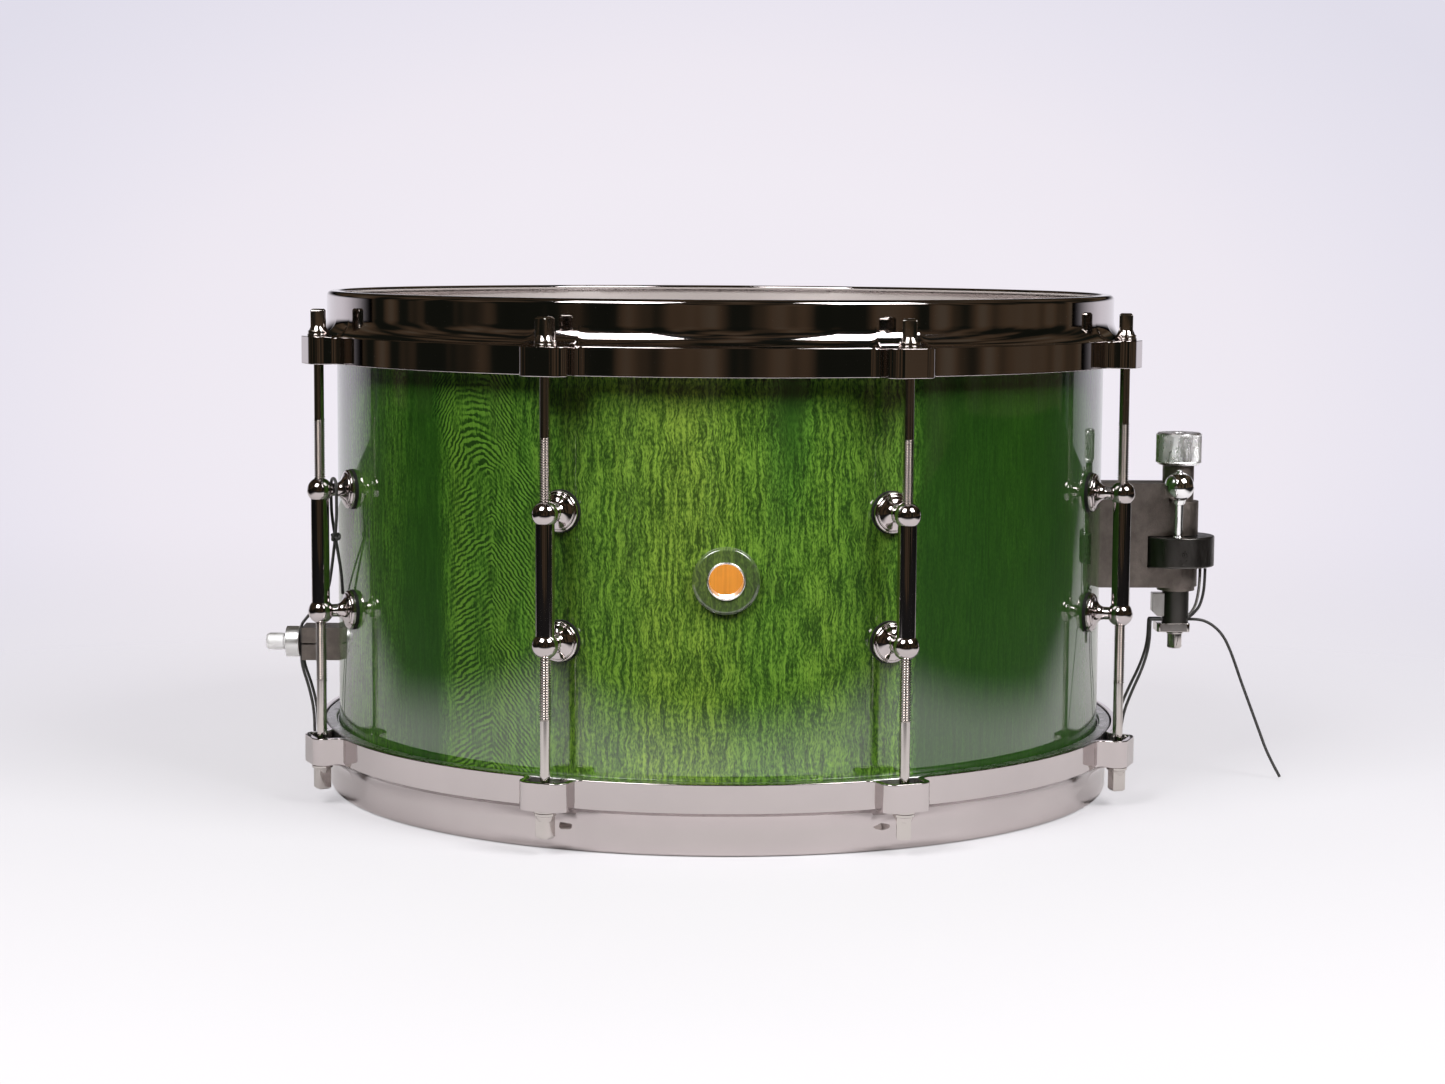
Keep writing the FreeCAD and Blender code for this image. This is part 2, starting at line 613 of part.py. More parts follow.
def make_clamp_screw():
    """Square-headed screw up through the clamp plate into the piston."""
    half = CLAMP_SCREW_SQUARE / 2
    shank = piston_bar(CLAMP_SCREW_RADIUS, CLAMP_PLATE_BOTTOM - 2, 80)
    flange = piston_bar(CLAMP_SCREW_FLANGE, CLAMP_PLATE_BOTTOM - 1.4, CLAMP_PLATE_BOTTOM)
    head = block((PISTON_AXIS - half, PISTON_AXIS + half), (-half, half),
                 (CLAMP_SCREW_BOTTOM, CLAMP_PLATE_BOTTOM - 1))
    head.rotate(vector(PISTON_AXIS, 0, 0), UP, 38)
    return shank.fuse([flange, head]).removeSplitter()


def make_tension_knob():
    """Round knob above the neck."""
    knob = piston_bar(KNOB_RADIUS, KNOB_BOTTOM, KNOB_TOP)
    top = [e for e in knob.Edges if e.Closed and abs(e.CenterOfMass.z - KNOB_TOP) < 0.01]
    knob = knob.makeChamfer(0.6, top)
    low = [e for e in knob.Edges if e.Closed and abs(e.CenterOfMass.z - KNOB_BOTTOM) < 0.01]
    knob = knob.makeChamfer(1.2, low)
    return knob.cut(piston_bar(ADJUSTER_RADIUS, KNOB_BOTTOM - 1, KNOB_TOP - 3))


def make_adjusting_screw():
    """Spindle from the knob down into the hollow of the piston."""
    return piston_bar(ADJUSTER_RADIUS, ADJUSTER_BOTTOM, KNOB_TOP - 3)


# ---- butt plate ----
def butt_bar(radius, start, end):
    """A round bar along the butt plate's screw axis."""
    return rod_between(vector(start, 0, BUTT_HEIGHT), vector(end, 0, BUTT_HEIGHT), radius)


def make_butt_block():
    """Block on the shell with a sawn slit and a hole for the thumb screw."""
    body = block((BUTT_BLOCK_END, 6 - SHELL_RADIUS), (-BUTT_HALF_WIDTH, BUTT_HALF_WIDTH),
                 (BUTT_BLOCK_LOW, BUTT_BLOCK_HIGH))
    slit = block((BUTT_BLOCK_END - 1, -184.5), (-BUTT_HALF_WIDTH - 1, BUTT_HALF_WIDTH + 1),
                 (BUTT_HEIGHT - 0.4, BUTT_HEIGHT + 0.4))
    hole = butt_bar(THUMB_SCREW_RADIUS + RUNNING_CLEARANCE, BUTT_BLOCK_END - 1, -188)
    cuts = [upright(SHELL_RADIUS, 0, TOTAL_HEIGHT), slit, hole]
    cuts += [rod_between(start, end, MOUNT_SCREW_RADIUS) for start, end in mount_screw_lines()[2:]]
    return body.cut(cuts)


def make_clamp_disc():
    """Thick round washer that pinches the cord against the butt block."""
    disc = butt_bar(DISC_RADIUS, DISC_INNER, DISC_OUTER)
    disc = disc.makeFillet(0.8, [e for e in disc.Edges if e.Closed and e.CenterOfMass.x < DISC_OUTER + 0.1])
    return disc.cut(butt_bar(THUMB_SCREW_RADIUS + RUNNING_CLEARANCE, DISC_INNER + 1, DISC_OUTER - 1))


def make_thumb_screw():
    """Screw with a small domed knob."""
    shank = butt_bar(THUMB_SCREW_RADIUS, -188.5, DISC_OUTER - 2)
    flange = butt_bar(3.0, DISC_OUTER - 0.1, DISC_OUTER - 1.2)
    knob = butt_bar(3.85, DISC_OUTER - 1.0, -213.4)
    knob = knob.makeFillet(1.6, [e for e in knob.Edges if e.Closed and e.CenterOfMass.x < -213])
    return shank.fuse([flange, knob]).removeSplitter()


# ---- snares ----
def make_snare_wires():
    """Twenty strands across the snare head, as plain bars the size of their coils."""
    start = -WIRE_PITCH * (WIRE_COUNT - 1) / 2
    return [rod_between(vector(-WIRE_HALF_LENGTH, start + WIRE_PITCH * i, WIRE_HEIGHT),
                        vector(WIRE_HALF_LENGTH, start + WIRE_PITCH * i, WIRE_HEIGHT), WIRE_RADIUS)
            for i in range(WIRE_COUNT)]


def make_end_plate():
    """Strip that the strands are soldered to, at the strainer side, with its cord holes."""
    plate = block((WIRE_HALF_LENGTH, WIRE_HALF_LENGTH + END_PLATE_LENGTH), (-21, 21),
                  (WIRE_HEIGHT - 0.8, WIRE_HEIGHT + 0.8))
    plate = plate.makeFillet(3.0, [e for e in plate.Edges if e.BoundBox.ZLength > 1
                                   and e.CenterOfMass.x > WIRE_HALF_LENGTH + 1])
    return plate


# ---- cords: each route is a list of points from one end to the other ----
STRAINER_CORD_ROUTE = [(166.2, 11.1), (177.5, 7.3), (186.8, 8.4), (190.2, 18.0), (191.4, 30.0),
                       (195.6, 41.0), (200.4, 51.5), (203.1, 60.0), (203.95, 66.0), (204.05, 70.5),
                       (204.1, 75.2)]
STRAINER_CORD_SPREAD = [7.0, 7.0, 7.0, 6.6, 5.8, 4.9, 4.1, 3.4, 2.9, 2.6, 2.3]
BUTT_CORD_ROUTE = [(166.2, 11.1), (177.5, 7.3), (186.8, 8.4), (190.2, 18.0), (190.3, 30.5),
                   (192.8, 42.0), (196.2, 52.0), (196.4, 57.5), (196.4, 69.0)]
BUTT_CORD_SPREAD = [7.0, 7.0, 7.0, 6.6, 5.8, 4.9, 4.1, 3.7, 3.5]
FREE_TAIL_ROUTE = [(222.9, -1.0, 75.2), (227.6, -1.6, 75.4), (233.2, -2.4, 73.2), (238.6, -3.1, 68.2),
                   (242.6, -3.9, 60.0), (247.3, -4.9, 46.5), (251.8, -5.7, 34.6), (256.4, -6.5, 22.5),
                   (260.8, -7.3, 10.8), (266.4, -8.0, 0.9)]
BUTT_TAIL_ROUTE = [(-196.4, -3.7, 69.0), (-196.3, -4.6, 71.5), (-193.6, -8.5, 74.8),
                   (-189.7, -16.0, 79.3), (-185.4, -26.0, 84.0), (-179.1, -41.0, 91.5),
                   (-175.6, -55.0, 103.5)]
TUCKED_TAIL_ROUTES = [
    [(222.9, -3.0, 76.9), (226.3, -3.6, 79.9), (228.3, -4.0, 85.5), (229.2, -4.2, 92.5), (229.2, -4.2, 99.8)],
    [(223.1, 1.5, 76.7), (225.8, 1.9, 79.9), (227.3, 2.0, 86.0), (228.0, 2.0, 93.0), (228.0, 2.0, 99.8)]]
CLAMPED_ROUTES = [[(204.95, y, 75.2), (210.0, y, 75.2)] for y in (-2.3, 2.3)]
KNOT = (-1.2, 185.7, 120.0)
KNOT_RADIUS = 2.4
LOOP_ROUTE = [(-1.6, 185.8, 121.0), (-4.6, 186.3, 128.5), (-4.4, 186.6, 137.0), (-4.4, 186.6, 146.2),
              (4.4, 186.6, 146.2), (4.4, 186.6, 137.0), (3.4, 186.3, 128.5), (-0.8, 185.8, 121.0)]
LOOSE_END_ROUTE = [(-1.6, 185.4, 119.0), (-2.6, 184.2, 113.0), (-4.6, 182.4, 105.5), (-6.6, 181.2, 98.5),
                   (-8.0, 180.6, 93.5)]


def beside_lug(route):
    """Points given as offset, radius and height beside the lug next to the butt plate."""
    a = math.radians(-LUG_STEP * 1.5)
    return [(x * math.cos(a) + r * math.sin(a), x * math.sin(a) - r * math.cos(a), z)
            for x, r, z in route]


def make_cord_pair(name, side, route, spread):
    """Two strands of one cord, apart at the end plate and closer at the clamp."""
    return [cord_tube(name, [(side * x, sign * y, z) for (x, z), y in zip(route, spread)])
            for sign in (-1, 1)]


def make_butt_cord_tail():
    """End of the butt cord, knotted and looped over the stem of the nearest lug."""
    knot = beside_lug([KNOT])
    lead = cord_tube("butt_cord_tail lead", BUTT_TAIL_ROUTE + knot)
    loop = cord_tube("butt_cord_tail loop", beside_lug(LOOP_ROUTE))
    loose = cord_tube("butt_cord_tail loose end", beside_lug(LOOSE_END_ROUTE))
    return Part.makeSphere(KNOT_RADIUS, vector(*knot[0])).fuse([lead, loop, loose])


def save(name, shapes):
    """Write one node, from one shape or a list of separate solids."""
    shape = Part.makeCompound(shapes) if isinstance(shapes, list) else shapes
    shape.exportStep(f"parts/{name}.step")


def save_shell_and_heads():
    head = make_head()
    flesh_hoop = make_flesh_hoop()
    save("shell", make_shell())
    save("vent_badge", make_vent_badge())
    save("vent_grommet", make_vent_grommet())
    save("batter_head", head)
    save("batter_flesh_hoop", flesh_hoop)
    save("snare_head", mirrored(head))
    save("snare_flesh_hoop", mirrored(flesh_hoop))
    save("batter_hoop", make_hoop())
    save("snare_hoop", make_snare_hoop())


def save_lugs_and_rods():
    gaskets, screws, screw_washers = lug_fixings()
    save("lug_gaskets", gaskets)
    save("lug_screws", screws)
    save("lug_screw_washers", screw_washers)
    lug = make_lug()
    for i in range(LUG_COUNT):
        save(f"lug_{i + 1}", turned(lug, lug_angle(i)))
        save(f"batter_rod_{i + 1}", make_tension_rod(i, TOP_HEAD_TURN))
        save(f"snare_rod_{i + 1}", mirrored(make_tension_rod(i, BOTTOM_HEAD_TURN)))
    washers = make_rod_washers()
    save("batter_rod_washers", washers)
    save("snare_rod_washers", [mirrored(washer) for washer in washers])


def save_strainer():
    save("strainer_body", make_strainer_body())
    save("release_collar", make_release_collar())
    save("release_lever", make_release_lever())
    save("lever_ball", make_lever_ball())
    save("cam_follower", make_cam_follower())
    save("piston", make_piston())
    save("cord_jaw", make_cord_jaw())
    save("clamp_plate", make_clamp_plate())
    save("clamp_screw", make_clamp_screw())
    save("tension_knob", make_tension_knob())
    save("adjusting_screw", make_adjusting_screw())


def save_butt_plate():
    save("butt_block", make_butt_block())
    save("mount_screws", make_mount_screws())
    save("butt_clamp_disc", make_clamp_disc())
    save("butt_thumb_screw", make_thumb_screw())


def save_snares():
    plate = make_end_plate()
    save("snare_wires", make_snare_wires())
    save("snare_end_plates", [plate, turned(plate, 180)])
    save("strainer_cord", make_cord_pair("strainer_cord", 1, STRAINER_CORD_ROUTE, STRAINER_CORD_SPREAD))
    save("butt_cord", make_cord_pair("butt_cord", -1, BUTT_CORD_ROUTE, BUTT_CORD_SPREAD))
    save("strainer_cord_tail", cord_tube("strainer_cord_tail", FREE_TAIL_ROUTE))
    save("strainer_cord_tucked_ends",
         [cord_tube("strainer_cord_tucked_ends", route) for route in CLAMPED_ROUTES + TUCKED_TAIL_ROUTES])
    save("butt_cord_tail", make_butt_cord_tail())


def main():
    os.makedirs("parts", exist_ok=True)
    save_shell_and_heads()
    save_lugs_and_rods()
    save_strainer()
    save_butt_plate()
    save_snares()


main()
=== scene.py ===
import math

import bmesh
import bpy
from mathutils import Matrix, Vector


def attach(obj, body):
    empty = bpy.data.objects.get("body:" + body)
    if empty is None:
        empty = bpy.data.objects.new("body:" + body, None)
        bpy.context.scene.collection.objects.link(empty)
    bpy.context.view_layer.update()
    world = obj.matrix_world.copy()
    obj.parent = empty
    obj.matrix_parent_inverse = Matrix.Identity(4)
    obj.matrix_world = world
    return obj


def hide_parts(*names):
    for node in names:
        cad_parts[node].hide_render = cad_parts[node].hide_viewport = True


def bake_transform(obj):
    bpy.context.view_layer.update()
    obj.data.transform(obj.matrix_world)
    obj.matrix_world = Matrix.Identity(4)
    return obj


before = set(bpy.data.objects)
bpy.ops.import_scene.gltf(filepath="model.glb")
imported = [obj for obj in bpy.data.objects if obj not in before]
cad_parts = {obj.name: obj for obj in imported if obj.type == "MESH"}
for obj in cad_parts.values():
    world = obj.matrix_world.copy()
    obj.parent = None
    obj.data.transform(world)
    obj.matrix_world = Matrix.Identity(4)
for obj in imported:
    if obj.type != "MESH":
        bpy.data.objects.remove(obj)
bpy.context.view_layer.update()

# The looks of a snare drum around its CAD frame.
# Shapes are written in millimetres in the CAD's own frame, and piece() turns them into metres.
MM = 0.001

# ---- sizes shared with the CAD source ----
SHELL_RADIUS = 177.8
SHELL_DEPTH = 203.2
SHELL_WALL = 8.0
TOTAL_HEIGHT = 228.5
MIDDLE = TOTAL_HEIGHT / 2
SHELL_TOP = MIDDLE + SHELL_DEPTH / 2
BEARING_EDGE_RADIUS = 175.9
BEARING_LAND = 0.4
OUTER_BEVEL_HEIGHT = 2.8
VENT_RADIUS = 7.5
FILM_THICKNESS = 0.4
COLLAR_RADIUS = 178.3
FLESH_HOOP_INNER = 179.1
FLESH_HOOP_OUTER = 184.0
FLESH_HOOP_DEPTH = 10.9
HOOP_SHEET = 2.3
HOOP_WALL_RADIUS = 182.15
SKIRT_RADIUS = 187.0
LIP_RADIUS = 177.3
BEND_START = 11.0
BEND_RADIUS = 9.5
FLANGE_DEPTH = 19.2
SKIRT_DEPTH = 31.3
EAR_HALF_WIDTH = 11.0
EAR_REACH = 199.1
EAR_CORNER = 6.0
EAR_BLEND = 4.0
ROD_HOLE_RADIUS = 3.0
GATE_HALF_WIDTH = 28.0
GATE_BOTTOM = 3.5
GATE_TOP = 10.5
LUG_COUNT = 8
LUG_STEP = 360.0 / LUG_COUNT
ROD_CIRCLE = 192.9
BALL_SPREAD = 27.0
BALL_RADIUS = 5.6
TUBE_RADIUS = 4.0
THREAD_RADIUS = 2.5
LUG_BORE = THREAD_RADIUS + 0.12
THREAD_ROOT = 1.95
THREAD_PITCH = 1.06
SHANK_RADIUS = 2.2
POST_FOOT = 178.9
POST_FOOT_RADIUS = 8.6
THREAD_END = 58.6
WASHER_RADIUS = 4.85
WASHER_THICKNESS = 1.0
HEAD_CLEARANCE = 0.03
HEAD_FLANGE_RADIUS = 4.6
HEAD_FLANGE_HEIGHT = 1.3
HEAD_CONE_HEIGHT = 2.4
HEAD_SQUARE = 6.0
HEAD_HEIGHT = 11.0
TOP_HEAD_TURN = (62, 14, 30, 75, 20, 50, 65, 68)
BOTTOM_HEAD_TURN = (25, 51, 40, 10, 60, 33, 80, 20)
PISTON_AXIS = 216.2
PISTON_RADIUS = 6.3
PISTON_BOTTOM = 73.8
CLAMP_PLATE_BOTTOM = 69.7
CLAMP_SCREW_BOTTOM = 61.3
PISTON_TOP = 125.0
COLLAR_OUTER = 17.6
COLLAR_BOTTOM = 100.9
COLLAR_TOP = 115.3
GUIDE_RADIUS = 8.6
LEVER_REST_ANGLE = -8.0
LEVER_ROOT_RADIUS = 12.6
LEVER_BALL_RADIUS = 6.85
LEVER_BALL_REACH = 17.6
LEVER_BALL_HEIGHT = 139.6
LEVER_STEM_RADIUS = 2.1
KNOB_RADIUS = 10.7
KNOB_BOTTOM = 148.5
KNOB_TOP = 163.7
BUTT_HEIGHT = 63.0
DISC_INNER = -197.2
DISC_OUTER = -203.7
DISC_RADIUS = 7.25
THUMB_SCREW_RADIUS = 2.0
THUMB_KNOB_END = -213.4
WIRE_COUNT = 20
WIRE_PITCH = 2.1
COIL_RADIUS = 0.95
COIL_WIRE_RADIUS = 0.22
COIL_TURN = 1.5
WIRE_HALF_LENGTH = 148.0
WIRE_HEIGHT = 11.1
CORD_RADIUS = 0.7

# ---- cord routes, the CAD source's own points in metres ----
GATE_ROUTE = [(0.1662, 0.0111), (0.1775, 0.0073), (0.1868, 0.0084), (0.1902, 0.0180)]
GATE_SPREAD = [0.0070, 0.0070, 0.0070, 0.0066, 0.0058, 0.0049, 0.0041]
STRAINER_CORD_ROUTE = GATE_ROUTE + [(0.1914, 0.0300), (0.1956, 0.0410), (0.2004, 0.0515),
                                    (0.2031, 0.0600), (0.20395, 0.0660), (0.20405, 0.0705),
                                    (0.2041, 0.0752)]
STRAINER_CORD_SPREAD = GATE_SPREAD + [0.0034, 0.0029, 0.0026, 0.0023]
CLAMPED_ROUTE = [(0.20495, 0.0752), (0.2100, 0.0752)]
BUTT_CORD_ROUTE = GATE_ROUTE + [(0.1903, 0.0305), (0.1928, 0.0420), (0.1962, 0.0520), (0.1964, 0.0575),
                                (0.1964, 0.0690)]
BUTT_CORD_SPREAD = GATE_SPREAD + [0.0037, 0.0035]
FREE_TAIL_ROUTE = [(0.2229, -0.0010, 0.0752), (0.2276, -0.0016, 0.0754), (0.2332, -0.0024, 0.0732),
                   (0.2386, -0.0031, 0.0682), (0.2426, -0.0039, 0.0600), (0.2473, -0.0049, 0.0465),
                   (0.2518, -0.0057, 0.0346), (0.2564, -0.0065, 0.0225), (0.2608, -0.0073, 0.0108),
                   (0.2664, -0.0080, 0.0009)]
BUTT_TAIL_ROUTE = [(-0.1964, -0.0037, 0.0690), (-0.1963, -0.0046, 0.0715), (-0.1936, -0.0085, 0.0748),
                   (-0.1897, -0.0160, 0.0793), (-0.1854, -0.0260, 0.0840), (-0.1791, -0.0410, 0.0915),
                   (-0.1756, -0.0550, 0.1035)]
TUCKED_TAIL_ROUTES = [
    [(0.2229, -0.0030, 0.0769), (0.2263, -0.0036, 0.0799), (0.2283, -0.0040, 0.0855),
     (0.2292, -0.0042, 0.0925), (0.2292, -0.0042, 0.0998)],
    [(0.2231, 0.0015, 0.0767), (0.2258, 0.0019, 0.0799), (0.2273, 0.0020, 0.0860),
     (0.2280, 0.0020, 0.0930), (0.2280, 0.0020, 0.0998)]]
# Offset, radius and height beside the lug next to the butt plate, in metres.
KNOT = (-0.0012, 0.1857, 0.1200)
LOOP_ROUTE = [(-0.0016, 0.1858, 0.1210), (-0.0046, 0.1863, 0.1285), (-0.0044, 0.1866, 0.1370),
              (-0.0044, 0.1866, 0.1462), (0.0044, 0.1866, 0.1462), (0.0044, 0.1866, 0.1370),
              (0.0034, 0.1863, 0.1285), (-0.0008, 0.1858, 0.1210)]
LOOSE_END_ROUTE = [(-0.0016, 0.1854, 0.1190), (-0.0026, 0.1842, 0.1130), (-0.0046, 0.1824, 0.1055),
                   (-0.0066, 0.1812, 0.0985), (-0.0080, 0.1806, 0.0935)]

# ---- camera ----
CAMERA_DISTANCE = 1.3134
CAMERA_AZIMUTH = -0.94
CAMERA_HEIGHT = 0.2526
CAMERA_PITCH = 6.158
CAMERA_HEADING = 1.008
CAMERA_ROLL = 0.349
CAMERA_LENS = 69.83

# ---- light: colours by place on a ramp, distances in metres ----
BACKDROP_CENTRE = (0.01, 0.0, -0.065)
BACKDROP_FADE = ((0.14, (0.875, 0.835, 0.90)), (0.20, (0.855, 0.815, 0.885)),
                 (0.25, (0.81, 0.78, 0.865)), (0.32, (0.75, 0.73, 0.825)))
ROOM_TONES = ((0.0, (0.006, 0.007, 0.005)), (0.42, (0.010, 0.011, 0.008)),
              (0.58, (0.075, 0.050, 0.030)), (1.0, (0.16, 0.15, 0.12)))
FLOOR_RADIUS = 12.0
FLOOR_TONES = ((0.41, 0.405, 0.418), (0.425, 0.42, 0.433))
FLOOR_GLOW = 0.385
FLOOR_FRONT = (0.0, -0.6, 0.0)
FLOOR_FULL = 0.1
FLOOR_END = 1.9
TABLE_TONES = ((0.76, 0.745, 0.755), (0.78, 0.765, 0.775))
TABLE_FULL = 0.34
TABLE_END = 0.58


# ======== mesh helpers: a part is a list of points and a list of faces ========
def skin(rings, ring_closed=True, path_closed=False, capped=False):
    """Faces between neighbouring rings that all have the same number of points."""
    count = len(rings[0])
    points = [Vector(p) for ring in rings for p in ring]
    faces = []
    for i in range(len(rings) if path_closed else len(rings) - 1):
        here = i * count
        there = (i + 1) % len(rings) * count
        for j in range(count if ring_closed else count - 1):
            k = (j + 1) % count
            faces.append((here + j, here + k, there + k, there + j))
    if capped:
        faces.append(tuple(range(count)))
        faces.append(tuple(range(len(points) - count, len(points))))
    return points, faces


def moved(part, matrix):
    """The same part somewhere else."""
    points, faces = part
    return [matrix @ p for p in points], faces


def along(origin, direction):
    """Matrix that takes the Z axis to a direction from an origin."""
    turn = Vector(direction).to_track_quat("Z", "Y").to_matrix().to_4x4()
    return Matrix.Translation(Vector(origin)) @ turn


def at_lug(index):
    """Matrix that takes the front of the drum to a lug."""
    return Matrix.Rotation(math.radians(LUG_STEP * (index + 0.5)), 4, "Z")


def turned_over():
    """Matrix that turns the drum's top to its bottom about a line through the front."""
    centre = Matrix.Translation((0, 0, MIDDLE))
    return centre @ Matrix.Rotation(math.pi, 4, "Y") @ centre.inverted()


def arc(centre, radius, first, last, steps):
    """Points on an arc between two angles in degrees, as pairs."""
    made = []
    for k in range(steps + 1):
        a = math.radians(first + (last - first) * k / steps)
        made.append((centre[0] + radius * math.cos(a), centre[1] + radius * math.sin(a)))
    return made


def rounded(corners, radius, closed=False, steps=4):
    """The same outline with its corners rounded off, and a point on the flat on both sides of each."""
    made = []
    last = len(corners) - 1
    for i, corner in enumerate(corners):
        if not closed and i in (0, last):
            made.append(tuple(corner))
            continue
        here = Vector(corner)
        before = Vector(corners[i - 1]) - here
        after = Vector(corners[(i + 1) % (last + 1)]) - here
        reach = min(radius, 0.4 * before.length, 0.4 * after.length)
        start = before.normalized() * reach
        end = after.normalized() * reach
        made.append(tuple(here + start * 1.2))
        for k in range(steps + 1):
            t = k / steps
            made.append(tuple(here + start * (1 - t) ** 2 + end * t ** 2))
        made.append(tuple(here + end * 1.2))
    return made


def lathe(profile, segments=72, closed=False):
    """A full turn about the Z axis of radius and height pairs."""
    rings = []
    for k in range(segments):
        a = 2 * math.pi * k / segments
        rings.append([(r * math.cos(a), r * math.sin(a), z) for r, z in profile])
    return skin(rings, ring_closed=closed, path_closed=True)


def ring_part(inner, outer, low, high, ease, segments):
    """A flat ring about the Z axis with eased edges."""
    corners = [(inner, low), (outer, low), (outer, high), (inner, high)]
    return lathe(rounded(corners, ease, closed=True), segments, closed=True)


def tube(path, radius, sides=12):
    """A round tube along a list of points."""
    path = [Vector(p) for p in path]
    rings = []
    side = (path[1] - path[0]).orthogonal().normalized()
    for i, p in enumerate(path):
        tangent = (path[min(i + 1, len(path) - 1)] - path[max(i - 1, 0)]).normalized()
        side = (side - tangent * side.dot(tangent)).normalized()
        other = tangent.cross(side)
        rings.append([p + (side * math.cos(a) + other * math.sin(a)) * radius
                      for a in (2 * math.pi * k / sides for k in range(sides))])
    return skin(rings, capped=True)


def helical_thread(low, high, end_radius, per_turn=20):
    """Surface of a right-handed screw thread about the Z axis, plain at both ends."""
    shares = ((0.0, THREAD_ROOT), (0.14, THREAD_ROOT), (0.44, THREAD_RADIUS), (0.58, THREAD_RADIUS))
    turns = math.ceil((high - low) / THREAD_PITCH) + 2
    points = []
    for i in range(turns * per_turn + 1):
        a = 2 * math.pi * i / per_turn
        for share, radius in shares:
            z = low + THREAD_PITCH * (i / per_turn + share - 1)
            if not low < z < high:
                radius = end_radius
                z = min(max(z, low), high)
            points.append(Vector((radius * math.cos(a), radius * math.sin(a), z)))
    faces = []
    count = len(shares)
    for i in range((turns - 1) * per_turn):
        for j in range(count):
            near = i * count + j
            far = near + 1 if j < count - 1 else (i + per_turn) * count
            faces.append((near, near + count, far + count, far))
    return points, faces


def rounded_square(half, corner, steps=4):
    """Outline of a square with round corners, as pairs."""
    made = []
    for quarter in range(4):
        a = math.pi / 2 * quarter
        x = half - corner
        centre = (x * math.cos(a) - x * math.sin(a), x * math.sin(a) + x * math.cos(a))
        made += arc(centre, corner, 90 * quarter, 90 * quarter + 90, steps)
    return made


def square_bar(levels, corner=0.45):
    """A square bar about the Z axis through levels of height and half width."""
    return skin([[(x, y, z) for x, y in rounded_square(half, min(corner, half * 0.9))]
                 for z, half in levels], capped=True)


def clean(mesh, part):
    """One part as a closed mesh with its faces outward."""
    work = bmesh.new()
    corners = [work.verts.new(p * MM) for p in part[0]]
    for face in part[1]:
        if len(set(face)) > 2:
            work.faces.new([corners[i] for i in face])
    bmesh.ops.remove_doubles(work, verts=work.verts, dist=2e-3 * MM)
    loose = [v for v in work.verts if not v.link_faces]
    bmesh.ops.delete(work, geom=loose, context="VERTS")
    open_edges = [e for e in work.edges if e.is_boundary]
    if open_edges:
        bmesh.ops.holes_fill(work, edges=open_edges, sides=0)
    bmesh.ops.recalc_face_normals(work, faces=work.faces)
    work.to_mesh(mesh)
    work.free()


def shade(mesh, angle):
    """Smooth shading with sharp edges above an angle in degrees."""
    mesh.shade_smooth()
    mesh.set_sharp_from_angle(angle=math.radians(angle))


def linked(name, data):
    """A new object in the scene."""
    made = bpy.data.objects.new(name, data)
    bpy.context.scene.collection.objects.link(made)
    return made


def joined_parts(name, parts):
    """An object made of several closed parts."""
    joined = bmesh.new()
    for part in parts:
        mesh = bpy.data.meshes.new("part")
        clean(mesh, part)
        joined.from_mesh(mesh)
        bpy.data.meshes.remove(mesh)
    mesh = bpy.data.meshes.new(name)
    joined.to_mesh(mesh)
    joined.free()
    return linked(name, mesh)


def piece(name, parts, look, body="root", stands_for=(), sharp=38.0):
    """One named piece of the drum from its parts, which rides on a body and replaces CAD nodes."""
    made = joined_parts(name, parts)
    shade(made.data, sharp)
    made.data.materials.append(LOOKS[look])
    if body:
        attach(made, body)
    if stands_for:
        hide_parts(*stands_for)
    return made


def carve(made, parts, sharp=38.0):
    """Cut parts out of a piece."""
    cutter = joined_parts("cutter", parts)
    cut = made.modifiers.new("cut", "BOOLEAN")
    cut.operation = "DIFFERENCE"
    cut.solver = "EXACT"
    cut.object = cutter
    shown = made.evaluated_get(bpy.context.evaluated_depsgraph_get())
    mesh = bpy.data.meshes.new_from_object(shown)
    made.modifiers.remove(cut)
    made.data = mesh
    bpy.data.objects.remove(cutter)
    shade(mesh, sharp)


def bar(start, end, radius, segments=32):
    """A round bar between two points."""
    start = Vector(start)
    end = Vector(end)
    length = (end - start).length
    profile = [(0, 0), (radius, 0), (radius, length), (0, length)]
    return moved(lathe(profile, segments), along(start, end - start))


